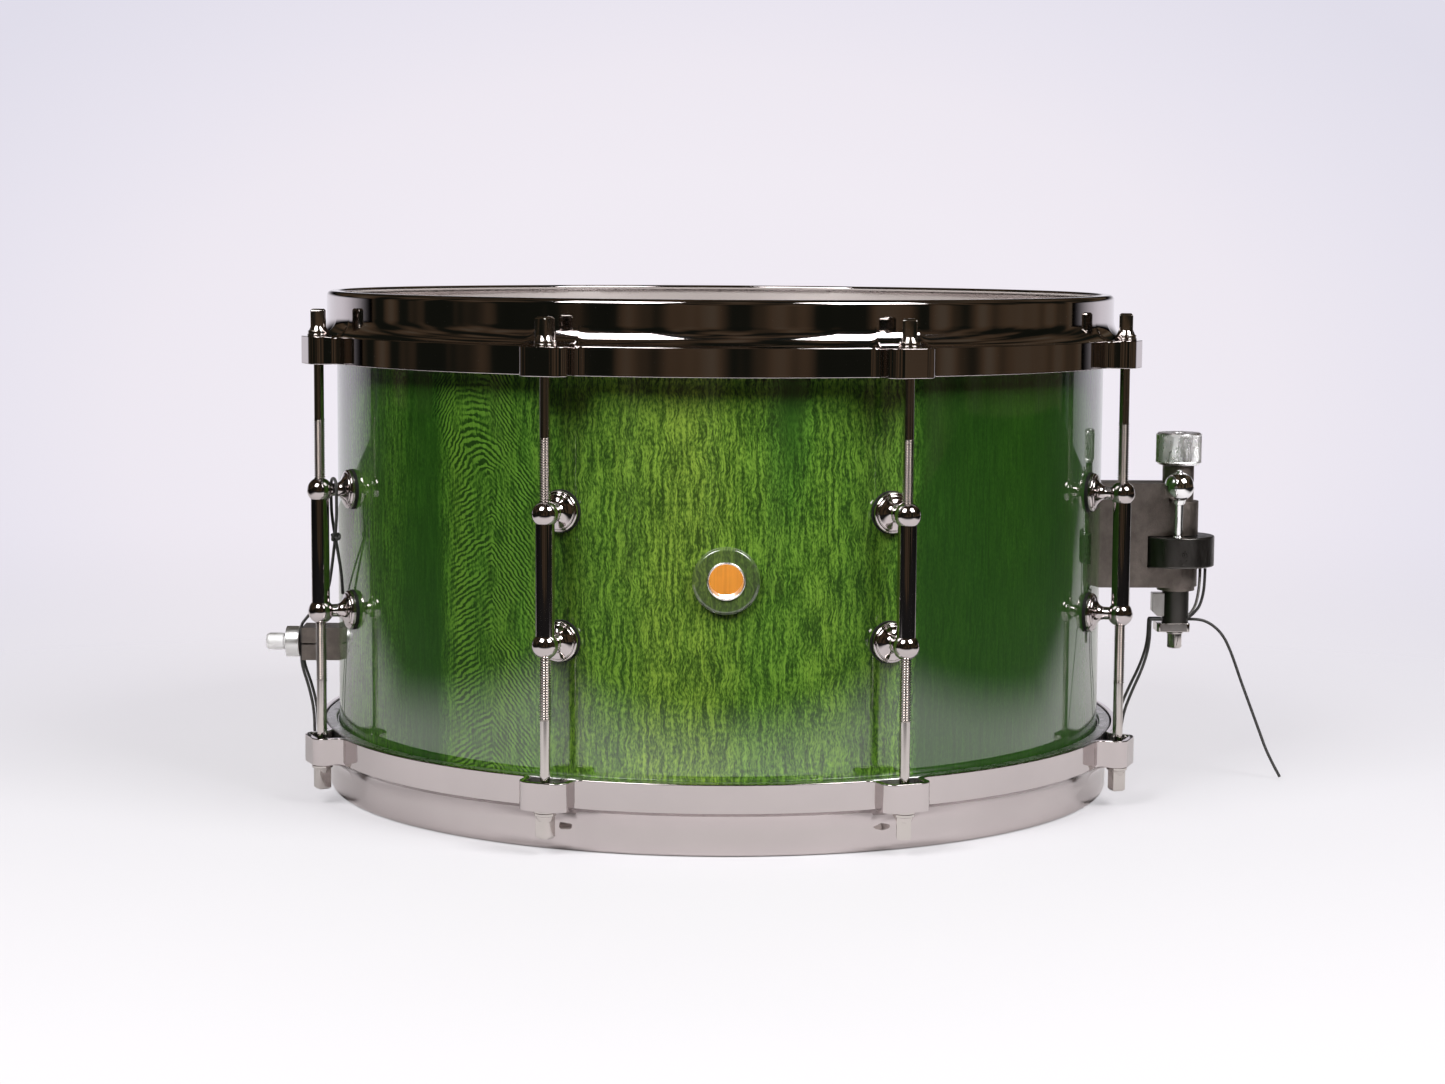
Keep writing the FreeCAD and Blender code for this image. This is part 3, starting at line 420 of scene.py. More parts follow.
# ======== materials ========
class Nodes:
    """A shader tree and a short way to write its nodes."""

    def __init__(self, tree):
        self.tree = tree

    def add(self, kind, inputs=None, **settings):
        """A node with its settings, and values or links for its inputs."""
        node = self.tree.nodes.new("ShaderNode" + kind)
        for key, value in settings.items():
            setattr(node, key, value)
        for key, value in (inputs or {}).items():
            self.put(node.inputs[key], value)
        return node

    def put(self, socket, value):
        if isinstance(value, bpy.types.NodeSocket):
            self.tree.links.new(value, socket)
        else:
            socket.default_value = value

    def math(self, operation, *values, clamp=False):
        node = self.add("Math", operation=operation, use_clamp=clamp)
        for socket, value in zip(node.inputs, values):
            self.put(socket, value)
        return node.outputs[0]

    def plus(self, first, second):
        return self.math("ADD", first, second)

    def times(self, first, second):
        return self.math("MULTIPLY", first, second)

    def spread(self, value, width):
        """A 0 to 1 value as one between plus and minus half a width."""
        return self.times(self.plus(value, -0.5), width)

    def vector(self, operation, first, *second):
        """A vector, or a length, worked out from one or two vectors."""
        node = self.add("VectorMath", operation=operation)
        for socket, value in zip(node.inputs, (first, *second)):
            self.put(socket, value)
        return node.outputs["Value" if operation == "LENGTH" else "Vector"]

    def noise(self, scale, detail=3.0, place=None, roughness=0.55, distortion=0.0):
        """Noise with so many features per metre, along all axes or along each."""
        scales = scale if isinstance(scale, tuple) else (scale,) * 3
        spot = self.vector("MULTIPLY", place or self.place, scales)
        return self.add("TexNoise", {"Vector": spot, "Scale": 1.0, "Detail": detail,
                                     "Roughness": roughness, "Distortion": distortion}).outputs[0]

    def ramp(self, factor, stops):
        """Colours or greys between stops of place and value."""
        node = self.add("ValToRGB", {"Fac": factor})
        marks = node.color_ramp.elements
        while len(marks) < len(stops):
            marks.new(0.5)
        for mark, (at, value) in zip(marks, stops):
            mark.position = at
            mark.color = (*value, 1) if isinstance(value, tuple) else (value, value, value, 1)
        return node.outputs["Color"]

    def mix(self, factor, first, second, blend="MIX"):
        node = self.add("Mix", data_type="RGBA", blend_type=blend)
        for place, value in ((0, factor), (6, first), (7, second)):
            self.put(node.inputs[place], (*value, 1) if isinstance(value, tuple) else value)
        return node.outputs[2]

    def faded(self, value, full, none):
        """1 before a value is full, 0 after it is none, smooth between."""
        share = self.add("MapRange", {"Value": value, "From Min": full, "From Max": none, "To Min": 1.0,
                                      "To Max": 0.0}, interpolation_type="SMOOTHSTEP")
        return share.outputs[0]


class Look(Nodes):
    """A material's nodes round its shader."""

    def __init__(self, name, **sockets):
        self.material = bpy.data.materials.new(name)
        self.material.use_nodes = True
        super().__init__(self.material.node_tree)
        self.shader = self.tree.nodes["Principled BSDF"]
        for socket, value in sockets.items():
            self.shader.inputs[socket.replace("_", " ")].default_value = value
        self.place = self.add("TexCoord").outputs["Object"]

    def bump(self, height, distance):
        """Fine relief, with its height in millimetres."""
        node = self.add("Bump", {"Height": height, "Strength": 1.0, "Distance": distance * MM})
        self.put(self.shader.inputs["Normal"], node.outputs[0])

    def set(self, socket, value):
        self.put(self.shader.inputs[socket], value)

    def show(self, shader):
        """Use another shader for the surface."""
        self.put(self.tree.nodes["Material Output"].inputs["Surface"], shader.outputs[0])

    def show_blend(self, share, first, second):
        """A surface that is the first shader at share 0 and the second at share 1."""
        self.show(self.add("MixShader", {0: share, 1: first.outputs[0], 2: second.outputs[0]}))


def shades(colour, spread):
    """Two tones a little darker and lighter than a colour."""
    return tuple(c * (1 - spread) for c in colour), tuple(min(1.0, c * (1 + spread)) for c in colour)


def metal(name, colour, roughness, spread=0.06, cloud=40.0, grain=900.0, relief=0.0):
    """Metal with cloudy tone, uneven polish and, where asked for, a blasted or brushed grain."""
    look = Look(name, Metallic=1.0)
    cloud_noise = look.noise(cloud, detail=4.0)
    dark, light = shades(colour, spread)
    look.set("Base Color", look.ramp(cloud_noise, ((0.3, dark), (0.7, light))))
    rub = look.noise((cloud * 6, cloud * 6, cloud * 2), detail=6.0, roughness=0.7)
    look.set("Roughness", look.ramp(rub, ((0.3, roughness * 0.75), (0.75, roughness * 1.4))))
    if relief:
        look.bump(look.noise(grain, detail=2.0), relief)
    return look.material


def wood_tone(look, girth, height, turn, pattern):
    """How pale the stain is: veneer panels, long streaks, clouds and a dark smudge under the hoop."""
    panels = look.ramp(turn, (
        (0.000, 0.62), (0.140, 0.50), (0.250, 0.66), (0.294, 0.46), (0.345, 0.47), (0.3795, 0.26),
        (0.3860, 0.56), (0.440, 0.67), (0.471, 0.86), (0.497, 0.92), (0.515, 0.74), (0.5700, 0.74),
        (0.5760, 0.28), (0.640, 0.25), (0.703, 0.34), (0.745, 0.26), (0.7475, 0.60), (0.900, 0.74),
        (1.000, 0.62)))
    tone = look.plus(panels, look.spread(pattern(26, 420, detail=3.0), 0.5))
    tone = look.plus(tone, look.spread(pattern(60, 90), 0.2))
    aside = look.plus(girth, -27.0)
    narrow = look.math("POWER", math.e, look.times(look.times(aside, aside), -0.016))
    high = look.ramp(look.times(height, 1 / TOTAL_HEIGHT), ((0.58, 0.0), (0.86, 0.5)))
    return look.math("SUBTRACT", tone, look.times(narrow, high), clamp=True)


def ripple_figure(look, girth, height, pattern):
    """Lines across the grain, flat above and arched below, on one band of the veneer."""
    upper = look.ramp(look.times(height, 1 / TOTAL_HEIGHT), ((0.66, 0.0), (0.78, 1.0)))
    aside = look.plus(look.plus(girth, 103.0), look.times(upper, 10.0))
    away = look.math("ABSOLUTE", aside)
    arched = look.plus(look.times(away, 0.62), look.times(look.math("MAXIMUM", aside, 0.0), 0.5))
    level = look.times(look.math("MAXIMUM", look.plus(away, -9.0), 0.0), 1.35)
    drop = look.plus(look.times(level, upper), look.times(arched, look.math("SUBTRACT", 1.0, upper)))
    place = look.plus(look.plus(height, drop), look.spread(pattern(9, 5), 5.0))
    wave = look.plus(look.times(look.math("SINE", look.times(place, 2 * math.pi / 2.6)), 0.5), 0.5)
    beads = look.spread(pattern(1.1, 1.1), 0.9)
    lines = look.ramp(look.plus(wave, beads), ((0.15, 0.0), (0.85, 1.0)))
    band = look.ramp(look.times(away, 1 / 60), ((0.30, 1.0), (0.45, 0.0)))
    patchy = look.ramp(pattern(14, 16), ((0.36, 0.25), (0.56, 1.0)))
    return lines, look.times(band, patchy)


def rope_figure(look, pattern, swayed):
    """Rows of short slanting flecks along the grain."""
    rows = pattern(1.5, 17, detail=2.0, place=swayed)
    beads = pattern(0.66, 1.9, detail=2.0, place=swayed)
    both = look.plus(look.times(rows, 0.5), look.times(beads, 0.5))
    return look.ramp(both, ((0.40, 0.0), (0.61, 1.0)))


def green_wood(name, badge=False):
    """Figured wood stained green under clear lacquer."""
    look = Look(name, Coat_Weight=1.0, Coat_Roughness=0.03, Coat_IOR=1.85, Roughness=0.45, IOR=1.3)
    axes = look.add("SeparateXYZ", {"Vector": look.place}).outputs
    angle = look.math("ARCTAN2", axes[0], look.times(axes[1], -1.0))
    girth = look.times(angle, SHELL_RADIUS)
    height = look.times(axes[2], 1 / MM)
    turn = look.plus(look.times(angle, 0.5 / math.pi), 0.5)
    flat = look.add("CombineXYZ", {"X": girth, "Y": height, "Z": 0.0}).outputs[0]

    def pattern(across, up, detail=2.0, place=flat):
        """Noise with features so many millimetres across and up."""
        return look.noise((1 / across, 1 / up, 1.0), detail=detail, place=place)

    sway = look.spread(pattern(11, 9, detail=1.0), 4.0)
    swayed = look.add("CombineXYZ", {"X": look.plus(girth, sway), "Y": height, "Z": 3.0}).outputs[0]
    tone = wood_tone(look, girth, height, turn, pattern)
    colour = look.ramp(tone, ((0.10, (0.016, 0.070, 0.006)), (0.36, (0.025, 0.096, 0.007)),
                              (0.58, (0.056, 0.164, 0.0135)), (0.78, (0.086, 0.200, 0.018)),
                              (0.95, (0.126, 0.240, 0.024))))
    flecks = rope_figure(look, pattern, swayed)
    lines, band = ripple_figure(look, girth, height, pattern)
    rippled = look.times(band, 0.65)
    figure = look.plus(look.times(flecks, look.math("SUBTRACT", 1.0, rippled)),
                       look.times(lines, rippled))
    strength = look.ramp(tone, ((0.30, 0.25), (0.56, 1.15)))
    strength = look.math("MAXIMUM", strength, look.times(band, 2.4))
    figure = look.plus(look.times(look.plus(figure, -0.45), strength), 0.45)
    shade_of = look.ramp(figure, ((0.0, (0.28, 0.34, 0.30)), (0.45, (0.88, 0.92, 0.90)),
                                  (1.0, (2.35, 1.95, 2.30))))
    colour = look.mix(1.0, colour, shade_of, "MULTIPLY")
    fibres = pattern(0.8, 26, detail=3.0)
    colour = look.mix(1.0, colour, look.ramp(fibres, ((0.3, 0.80), (0.7, 1.18))), "MULTIPLY")
    if badge:
        colour = look.mix(0.6, colour, (0.072, 0.088, 0.045))
    look.set("Base Color", colour)
    look.bump(look.plus(look.times(fibres, 0.6), figure), 0.03)
    return look.material


def natural_wood_in_warm_light():
    """Unstained veneer inside the shell and on its bearing edges, its orange partly the wood's own tan
    and partly painted warm light from the heads.
    """
    look = Look("natural_wood_in_warm_light", Roughness=0.5, Coat_Weight=0.15, Coat_Roughness=0.3)
    fibres = look.noise((700, 700, 24), detail=4.0)
    waves = look.noise((30, 30, 8), detail=3.0)
    tone = look.plus(look.times(fibres, 0.5), look.times(waves, 0.5))
    # Orange tones: the veneer's own tan plus a painted warm tint of the light through the heads.
    look.set("Base Color", look.ramp(tone, ((0.3, (0.62, 0.29, 0.035)), (0.7, (0.92, 0.49, 0.065)))))
    look.bump(fibres, 0.05)
    return look.material


def film(name, colour, roughness, transmission):
    """Drumhead film, with the fine orange-peel of its coating."""
    look = Look(name, Transmission_Weight=transmission, IOR=1.45)
    clouds = look.noise(25, detail=3.0)
    dark, light = shades(colour, 0.04)
    look.set("Base Color", look.ramp(clouds, ((0.3, dark), (0.7, light))))
    look.set("Roughness", look.ramp(look.noise(60), ((0.3, roughness * 0.9), (0.7, roughness * 1.1))))
    look.bump(look.noise(1600, detail=2.0), 0.02)
    return look.material


def rubber():
    """Black rubber with a dull, uneven skin."""
    look = Look("gasket_rubber_look", Specular_IOR_Level=0.3)
    dark, light = (0.010, 0.010, 0.010), (0.022, 0.021, 0.020)
    look.set("Base Color", look.ramp(look.noise(500), ((0.3, dark), (0.7, light))))
    look.set("Roughness", look.ramp(look.noise(200), ((0.3, 0.5), (0.7, 0.7))))
    look.bump(look.noise(2500), 0.02)
    return look.material


def fibre(name, dark, light, roughness):
    """Twisted synthetic cord: slanting plies with loose fibres."""
    look = Look(name, Sheen_Weight=0.25, Sheen_Roughness=0.4)
    plies = look.noise((2600, 2600, 900), detail=3.0, distortion=0.6)
    look.set("Base Color", look.ramp(plies, ((0.35, dark), (0.65, light))))
    look.set("Roughness", look.ramp(plies, ((0.3, roughness), (0.7, roughness * 1.25))))
    look.bump(plies, 0.12)
    return look.material


def make_looks():
    """Every material by its short name."""
    return {
        "stained_wood": green_wood("stained_wood_look"),
        "natural_wood_in_warm_light": natural_wood_in_warm_light(),
        "badge_wood": green_wood("badge_wood_look", badge=True),
        "polished_eyelet": metal("polished_eyelet_look", (0.90, 0.87, 0.84), 0.3),
        "batter_film": film("batter_film_look", (0.80, 0.79, 0.76), 0.55, 0.0),
        "snare_film": film("snare_film_look", (0.92, 0.93, 0.92), 0.16, 0.85),
        "head_hoop_metal": metal("head_hoop_look", (0.72, 0.72, 0.72), 0.28, relief=0.02),
        "black_nickel": metal("black_nickel_look", (0.50, 0.455, 0.45), 0.055, spread=0.05, cloud=14.0),
        "rod_metal": metal("rod_metal_look", (0.52, 0.485, 0.46), 0.11, cloud=30.0),
        "gasket_rubber": rubber(),
        "plain_steel": metal("plain_steel_look", (0.56, 0.55, 0.53), 0.3, relief=0.01),
        "blasted_metal": metal("blasted_metal_look", (0.215, 0.185, 0.166), 0.46, spread=0.2,
                               cloud=160.0, grain=2400.0, relief=0.10),
        "dark_collar_metal": metal("dark_collar_look", (0.105, 0.10, 0.094), 0.34, spread=0.12,
                                   grain=1800.0, relief=0.02),
        "chrome": metal("chrome_look", (0.88, 0.88, 0.88), 0.045, spread=0.02),
        "knurled_aluminium": metal("knurled_look", (0.93, 0.93, 0.93), 0.27, spread=0.08),
        "bright_knob": metal("bright_knob_look", (0.99, 0.99, 0.99), 0.62, spread=0.02),
        "satin": metal("satin_look", (0.84, 0.84, 0.83), 0.35, spread=0.05),
        "snare_steel": metal("snare_steel_look", (0.66, 0.65, 0.62), 0.18),
        "cord_fibre": fibre("cord_fibre_look", (0.022, 0.021, 0.021), (0.10, 0.098, 0.095), 0.45),
        "pale_cord": fibre("pale_cord_look", (0.22, 0.21, 0.20), (0.46, 0.45, 0.43), 0.3)}


# ======== camera, light and stage ========
def make_camera():
    data = bpy.data.cameras.new("camera")
    data.lens = CAMERA_LENS
    data.sensor_width = 36.0
    camera = linked("camera", data)
    azimuth = math.radians(CAMERA_AZIMUTH)
    place = Vector((CAMERA_DISTANCE * math.sin(azimuth), -CAMERA_DISTANCE * math.cos(azimuth),
                    CAMERA_HEIGHT))
    turn = (Matrix.Rotation(-math.radians(CAMERA_HEADING), 4, "Z")
            @ Matrix.Rotation(math.radians(90 - CAMERA_PITCH), 4, "X")
            @ Matrix.Rotation(math.radians(CAMERA_ROLL), 4, "Z"))
    camera.matrix_world = Matrix.Translation(place) @ turn
    bpy.context.scene.camera = camera


def area_light(name, place, target, size, power, colour, in_reflections=True):
    data = bpy.data.lights.new(name, "AREA")
    data.shape = "RECTANGLE"
    data.size, data.size_y = size
    data.energy = power
    data.color = colour
    light = linked(name, data)
    light.location = place
    light.rotation_mode = "QUATERNION"
    light.rotation_quaternion = (Vector(target) - Vector(place)).to_track_quat("-Z", "Y")
    light.visible_camera = False
    light.visible_glossy = in_reflections


def make_lights():
    """Two softboxes in front above, and wide lights above and behind that don't show in the metal."""
    drum = (0, 0, 0.12)
    area_light("softbox_left", (-0.80, -1.15, 1.50), drum, (0.85, 0.85), 31, (1.0, 0.99, 1.0))
    area_light("softbox_right", (1.02, -0.97, 1.46), drum, (0.85, 0.85), 31, (1.0, 0.99, 1.0))
    area_light("fill_top", (0, 0.4, 2.8), (0, 0.3, 0), (3.0, 3.0), 8, (1.0, 0.985, 1.0), False)
    area_light("fill_back", (0, 2.6, 1.9), drum, (3.2, 1.6), 26, (1.0, 0.985, 1.0), False)
    inside = bpy.data.lights.new("inside_glow", "POINT")
    inside.energy = 0.56
    inside.shadow_soft_size = 0.02
    linked("inside_glow", inside).location = (0, -0.02, 0.16)


def make_world():
    """A pale studio to look at, and a dim brown room for everything else."""
    world = bpy.data.worlds.new("studio")
    bpy.context.scene.world = world
    world.use_nodes = True
    nodes = Nodes(world.node_tree)
    nodes.tree.nodes.clear()
    place = nodes.add("TexCoord").outputs["Generated"]
    patches = nodes.noise((5.5, 5.5, 1.6), detail=1.5, place=place, roughness=0.4)
    room = nodes.ramp(patches, ROOM_TONES)
    oval = nodes.vector("MULTIPLY", nodes.vector("SUBTRACT", place, BACKDROP_CENTRE), (1.0, 0.0, 1.6))
    backdrop = nodes.ramp(nodes.vector("LENGTH", oval), BACKDROP_FADE)
    seen = nodes.add("LightPath").outputs["Is Camera Ray"]
    back = nodes.add("Background", {"Color": nodes.mix(seen, room, backdrop), "Strength": 1.0})
    nodes.add("OutputWorld", {"Surface": back.outputs[0]})


def stage_mesh(name, points, look):
    """One flat face of the stage."""
    mesh = bpy.data.meshes.new(name)
    mesh.from_pydata(points, [], [tuple(range(len(points)))])
    mesh.materials.append(look.material)
    made = linked(name, mesh)
    return made


def paper_look(name, tones):
    """Matt white paper between two tones."""
    look = Look(name, Roughness=0.9, Specular_IOR_Level=0.1)
    mottle = look.noise(3.0, detail=2.0, roughness=0.5)
    look.set("Base Color", look.ramp(mottle, tuple(zip((0.0, 1.0), tones))))
    return look


def floor_look():
    """Pale paper, evened out by a glow of its own, that fades away into the backdrop."""
    look = paper_look("floor_look", FLOOR_TONES)
    look.set("Emission Color", (1.0, 0.985, 1.0, 1))
    look.set("Emission Strength", FLOOR_GLOW)
    away = look.vector("LENGTH", look.vector("SUBTRACT", look.place, FLOOR_FRONT))
    look.show_blend(look.faded(away, FLOOR_FULL, FLOOR_END), look.add("BsdfTransparent"), look.shader)
    return look


def table_look():
    """White paper for reflections, which ends in the dark in front of the drum and beside it."""
    look = paper_look("table_look", TABLE_TONES)
    axes = look.add("SeparateXYZ", {"Vector": look.place}).outputs
    ahead = look.times(axes["Y"], -1.0)
    behind = look.math("MAXIMUM", axes["Y"], 0.0)
    beside = look.math("MULTIPLY_ADD", behind, -0.8, look.math("ABSOLUTE", axes["X"]))
    lit = look.faded(look.math("MAXIMUM", ahead, beside), TABLE_FULL, TABLE_END)
    look.show_blend(lit, look.add("BsdfDiffuse", {"Color": (0.01, 0.01, 0.01, 1)}), look.shader)
    return look


def backdrop_look():
    """White paper behind the drum for reflections, fading sideways and upwards."""
    look = Look("backdrop_look")
    axes = look.add("SeparateXYZ", {"Vector": look.place}).outputs
    sideways = look.faded(look.math("ABSOLUTE", axes["X"]), 1.15, 2.6)
    upwards = look.faded(axes["Z"], 0.22, 0.46)
    look.show(look.add("Emission", {"Color": (0.88, 0.85, 0.92, 1),
                                    "Strength": look.times(sideways, upwards)}))
    look.tree.nodes.remove(look.shader)
    return look


def make_stage():
    """The floor that the camera sees, and the table and backdrop that the drum sees."""
    rim = [(x, y, 0) for x, y in arc((0, 0), FLOOR_RADIUS, 0, 355, 71)]
    deep = 1.3
    sheet = [(-3, -1, 0), (3, -1, 0), (3, deep, 0), (-3, deep, 0)]
    wall = [(-2.7, deep, 0), (2.7, deep, 0), (2.7, deep, 0.5), (-2.7, deep, 0.5)]
    floor = stage_mesh("floor", rim, floor_look())
    floor.visible_glossy = False
    floor.visible_transmission = False
    table = stage_mesh("table_in_reflections", sheet, table_look())
    backdrop = stage_mesh("backdrop_in_reflections", wall, backdrop_look())
    for made in (floor, table, backdrop):
        made.visible_camera = made is floor
        made.visible_diffuse = False
        made.visible_shadow = False


# ======== cords ========
def smooth_line(route):
    """Points along the NURBS curve whose control points are a route's."""
    curve = bpy.data.curves.new("route", "CURVE")
    curve.dimensions = "3D"
    curve.resolution_u = 10
    spline = curve.splines.new("NURBS")
    spline.points.add(len(route) - 1)
    for point, place in zip(spline.points, route):
        point.co = (*place, 1)
    spline.order_u = 3
    spline.use_endpoint_u = True
    holder = bpy.data.objects.new("route", curve)
    mesh = bpy.data.meshes.new_from_object(holder)
    line = [v.co.copy() for v in mesh.vertices]
    bpy.data.objects.remove(holder)
    bpy.data.curves.remove(curve)
    bpy.data.meshes.remove(mesh)
    return line


def cord_tube(line):
    return tube([p / MM for p in line], CORD_RADIUS)


def beside_lug(route):
    """Points given as offset, radius and height beside the lug next to the butt plate."""
    a = math.radians(-LUG_STEP * 1.5)
    return [(x * math.cos(a) + r * math.sin(a), x * math.sin(a) - r * math.cos(a), z)
            for x, r, z in route]


def strand_pair(side, route, spread):
    """Two strands of one cord, apart at the end plate and closer at the clamp."""
    return [smooth_line([(side * x, sign * y, z) for (x, z), y in zip(route, spread)])
            for sign in (-1, 1)]


def split_at(line, height):
    """A rising line in two pieces that share the point nearest to a height."""
    k = min(range(len(line)), key=lambda i: abs(line[i].z - height))
    return line[:k + 1], line[k:]


def make_strainer_cord():
    """The strainer's cord strands, split at one height into a lower and an upper piece."""
    meeting = 0.054
    ends = [STRAINER_CORD_SPREAD[-1]] * len(CLAMPED_ROUTE)
    pairs = [split_at(line, meeting) for line in
             strand_pair(1, STRAINER_CORD_ROUTE + CLAMPED_ROUTE, STRAINER_CORD_SPREAD + ends)]
    lower = piece("strainer_cord_lower", [cord_tube(low) for low, _ in pairs], "cord_fibre",
                  body=None, stands_for=["strainer_cord"])
    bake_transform(lower)
    upper = piece("strainer_cord_upper", [cord_tube(high) for _, high in pairs], "cord_fibre", body=None)
    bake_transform(upper)


def make_strainer_tails():
    """The free end that reaches the floor, and two short ends tucked up under the collar."""
    line = smooth_line(FREE_TAIL_ROUTE)
    k = min(range(len(line)), key=lambda i: abs(line[i].x - 0.2296))
    inside = line[0] - Vector((0.0015, 0, 0))
    stub = piece("strainer_cord_tail_root", [cord_tube([inside] + line[:k + 1])], "cord_fibre",
                 body=None)
    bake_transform(stub)
    tail = piece("strainer_cord_free_end", [cord_tube(line[k:])], "cord_fibre",
                 body=None, stands_for=["strainer_cord_tail"])
    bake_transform(tail)
    for k, (route, look) in enumerate(zip(TUCKED_TAIL_ROUTES, ("cord_fibre", "pale_cord"))):
        line = smooth_line(route)
        inside = line[0] - Vector((0.0012, 0, 0.0006))
        piece(f"strainer_cord_tucked_{k + 1}", [cord_tube([inside] + line)], look,
              body="plunger", stands_for=[] if k else ["strainer_cord_tucked_ends"])


def overhand_knot(centre, direction):
    """A tight knot: the cord crosses itself in three lobes round the line it is tied on."""
    path = []
    for k in range(61):
        t = 2 * math.pi * k / 60 * 0.97
        path.append(Vector((math.sin(t) + 2 * math.sin(2 * t), math.cos(t) - 2 * math.cos(2 * t),
                            -2.1 * math.sin(3 * t))) * 0.62)
    return moved(tube(path, 0.7, sides=10), along(centre / MM, direction))


def make_butt_cord():
    pair = strand_pair(-1, BUTT_CORD_ROUTE, BUTT_CORD_SPREAD)
    piece("butt_cord_strands", [cord_tube(line) for line in pair], "cord_fibre",
          stands_for=["butt_cord"])
    knot_at = Vector(beside_lug([KNOT])[0])
    loop = smooth_line(beside_lug(LOOP_ROUTE))
    loose = smooth_line(beside_lug(LOOSE_END_ROUTE))
    knot = piece("butt_cord_knot_and_loop", [cord_tube(loop), cord_tube(loose),
                                             overhand_knot(knot_at, loop[3] - loop[0])],
                 "cord_fibre", stands_for=["butt_cord_tail"])
    lead = smooth_line(BUTT_TAIL_ROUTE + [tuple(knot_at)])
    tail = piece("butt_cord_lead", [cord_tube(lead)], "cord_fibre")


# ======== shell and heads ========
def make_shell():
    """Wooden cylinder with bearing edges, stained outside and natural inside, the inside's orange partly
    painted warm light.
    """
    inner = SHELL_RADIUS - SHELL_WALL
    land_inner = BEARING_EDGE_RADIUS - BEARING_LAND
    half = SHELL_DEPTH / 2
    upper = [(SHELL_RADIUS, 13.5), (SHELL_RADIUS, half - OUTER_BEVEL_HEIGHT),
             (BEARING_EDGE_RADIUS, half), (land_inner, half), (inner, half - (land_inner - inner)),
             (inner, 13.5)]
    lower = [(r, -z) for r, z in reversed(upper)]
    shell = piece("wooden_shell", [lathe([(r, MIDDLE + z) for r, z in upper + lower], 256, closed=True)],
                  "stained_wood", stands_for=["shell"], sharp=30.0)
    cuts = [bar((0, -160, MIDDLE), (0, -185, MIDDLE), VENT_RADIUS, 48)]
    carve(shell, cuts, sharp=30.0)
    shell.data.materials.append(LOOKS["natural_wood_in_warm_light"])
    for face in shell.data.polygons:
        middle = face.center
        outside = math.hypot(middle.x, middle.y) > (SHELL_RADIUS - 0.6) * MM
        face.material_index = 0 if outside else 1


def make_heads():
    """Coated batter film and clear snare film, with their metal hoops."""
    edge = SHELL_TOP
    thick = FILM_THICKNESS
    outer = COLLAR_RADIUS + thick
    skirt_end = TOTAL_HEIGHT - SKIRT_DEPTH + 1.5
    top_side = rounded([(0, edge + thick), (BEARING_EDGE_RADIUS + 0.6, edge + thick),
                        (outer, edge - 2.0), (outer, skirt_end)], 1.6, steps=6)
    under_side = rounded([(COLLAR_RADIUS, skirt_end), (COLLAR_RADIUS, edge - 2.2),
                          (BEARING_EDGE_RADIUS + 0.3, edge), (0, edge)], 1.2, steps=6)
    head = lathe(top_side + under_side, 192)
    piece("batter_film", [head], "batter_film", stands_for=["batter_head"])
    piece("snare_film", [moved(head, turned_over())], "snare_film",
          stands_for=["snare_head"])
    high = TOTAL_HEIGHT - FLANGE_DEPTH - 0.9
    low = high - FLESH_HOOP_DEPTH
    ring = ring_part(FLESH_HOOP_INNER, FLESH_HOOP_OUTER, low, high, 0.7, 192)
    piece("batter_film_ring", [ring], "head_hoop_metal",
          stands_for=["batter_flesh_hoop"])
    piece("snare_film_ring", [moved(ring, turned_over())], "head_hoop_metal",
          stands_for=["snare_flesh_hoop"])


def make_vent():
    """Turned wooden ring and its polished eyelet."""
    face_at = SHELL_RADIUS + 3.0
    outward = along((0, 0, MIDDLE), (0, -1, 0))
    badge = rounded([(VENT_RADIUS, SHELL_RADIUS - 1), (14.0, SHELL_RADIUS - 1), (14.0, face_at - 1.1),
                     (12.9, face_at), (VENT_RADIUS, face_at)], 0.5, closed=True)
    piece("vent_ring", [moved(lathe(badge, 96, closed=True), outward)], "badge_wood",
          stands_for=["vent_badge"])
    inside = SHELL_RADIUS - SHELL_WALL
    bore = VENT_RADIUS - 0.4
    eyelet = ([(bore, inside - 0.8)] + rounded([(bore, inside - 1.0), (VENT_RADIUS + 1.5, inside - 1.0),
              (VENT_RADIUS + 1.5, inside - 0.25), (VENT_RADIUS, inside - 0.25)], 0.25)
              + arc((VENT_RADIUS - 0.02, face_at + 0.35), 0.40, -60, 170, 10))
    piece("vent_eyelet", [moved(lathe(eyelet, 96, closed=True), outward)], "polished_eyelet",
          stands_for=["vent_grommet"])


# ======== hoops ========
def ear_stations():
    """Places and outward directions along one ear at the front, from left to right."""
    blend_x = EAR_HALF_WIDTH + EAR_BLEND
    blend_y = -math.sqrt((SKIRT_RADIUS + EAR_BLEND) ** 2 - blend_x ** 2)
    corner = (EAR_HALF_WIDTH - EAR_CORNER, EAR_CORNER - EAR_REACH)
    first = math.degrees(math.atan2(-blend_y, -blend_x))
    right = []
    for x, y in arc((blend_x, blend_y), EAR_BLEND, first, 180, 7):
        right.append((x, y, (blend_x - x) / EAR_BLEND, (blend_y - y) / EAR_BLEND))
    for x, y in arc(corner, EAR_CORNER, 0, -90, 9):
        right.append((x, y, (x - corner[0]) / EAR_CORNER, (y - corner[1]) / EAR_CORNER))
    right.append((corner[0] - 0.4, -EAR_REACH, 0, -1))
    right.append((corner[0] / 2, -EAR_REACH, 0, -1))
    left = [(-x, y, -nx, ny) for x, y, nx, ny in right]
    return left + [(0, -EAR_REACH, 0, -1)] + right[::-1]


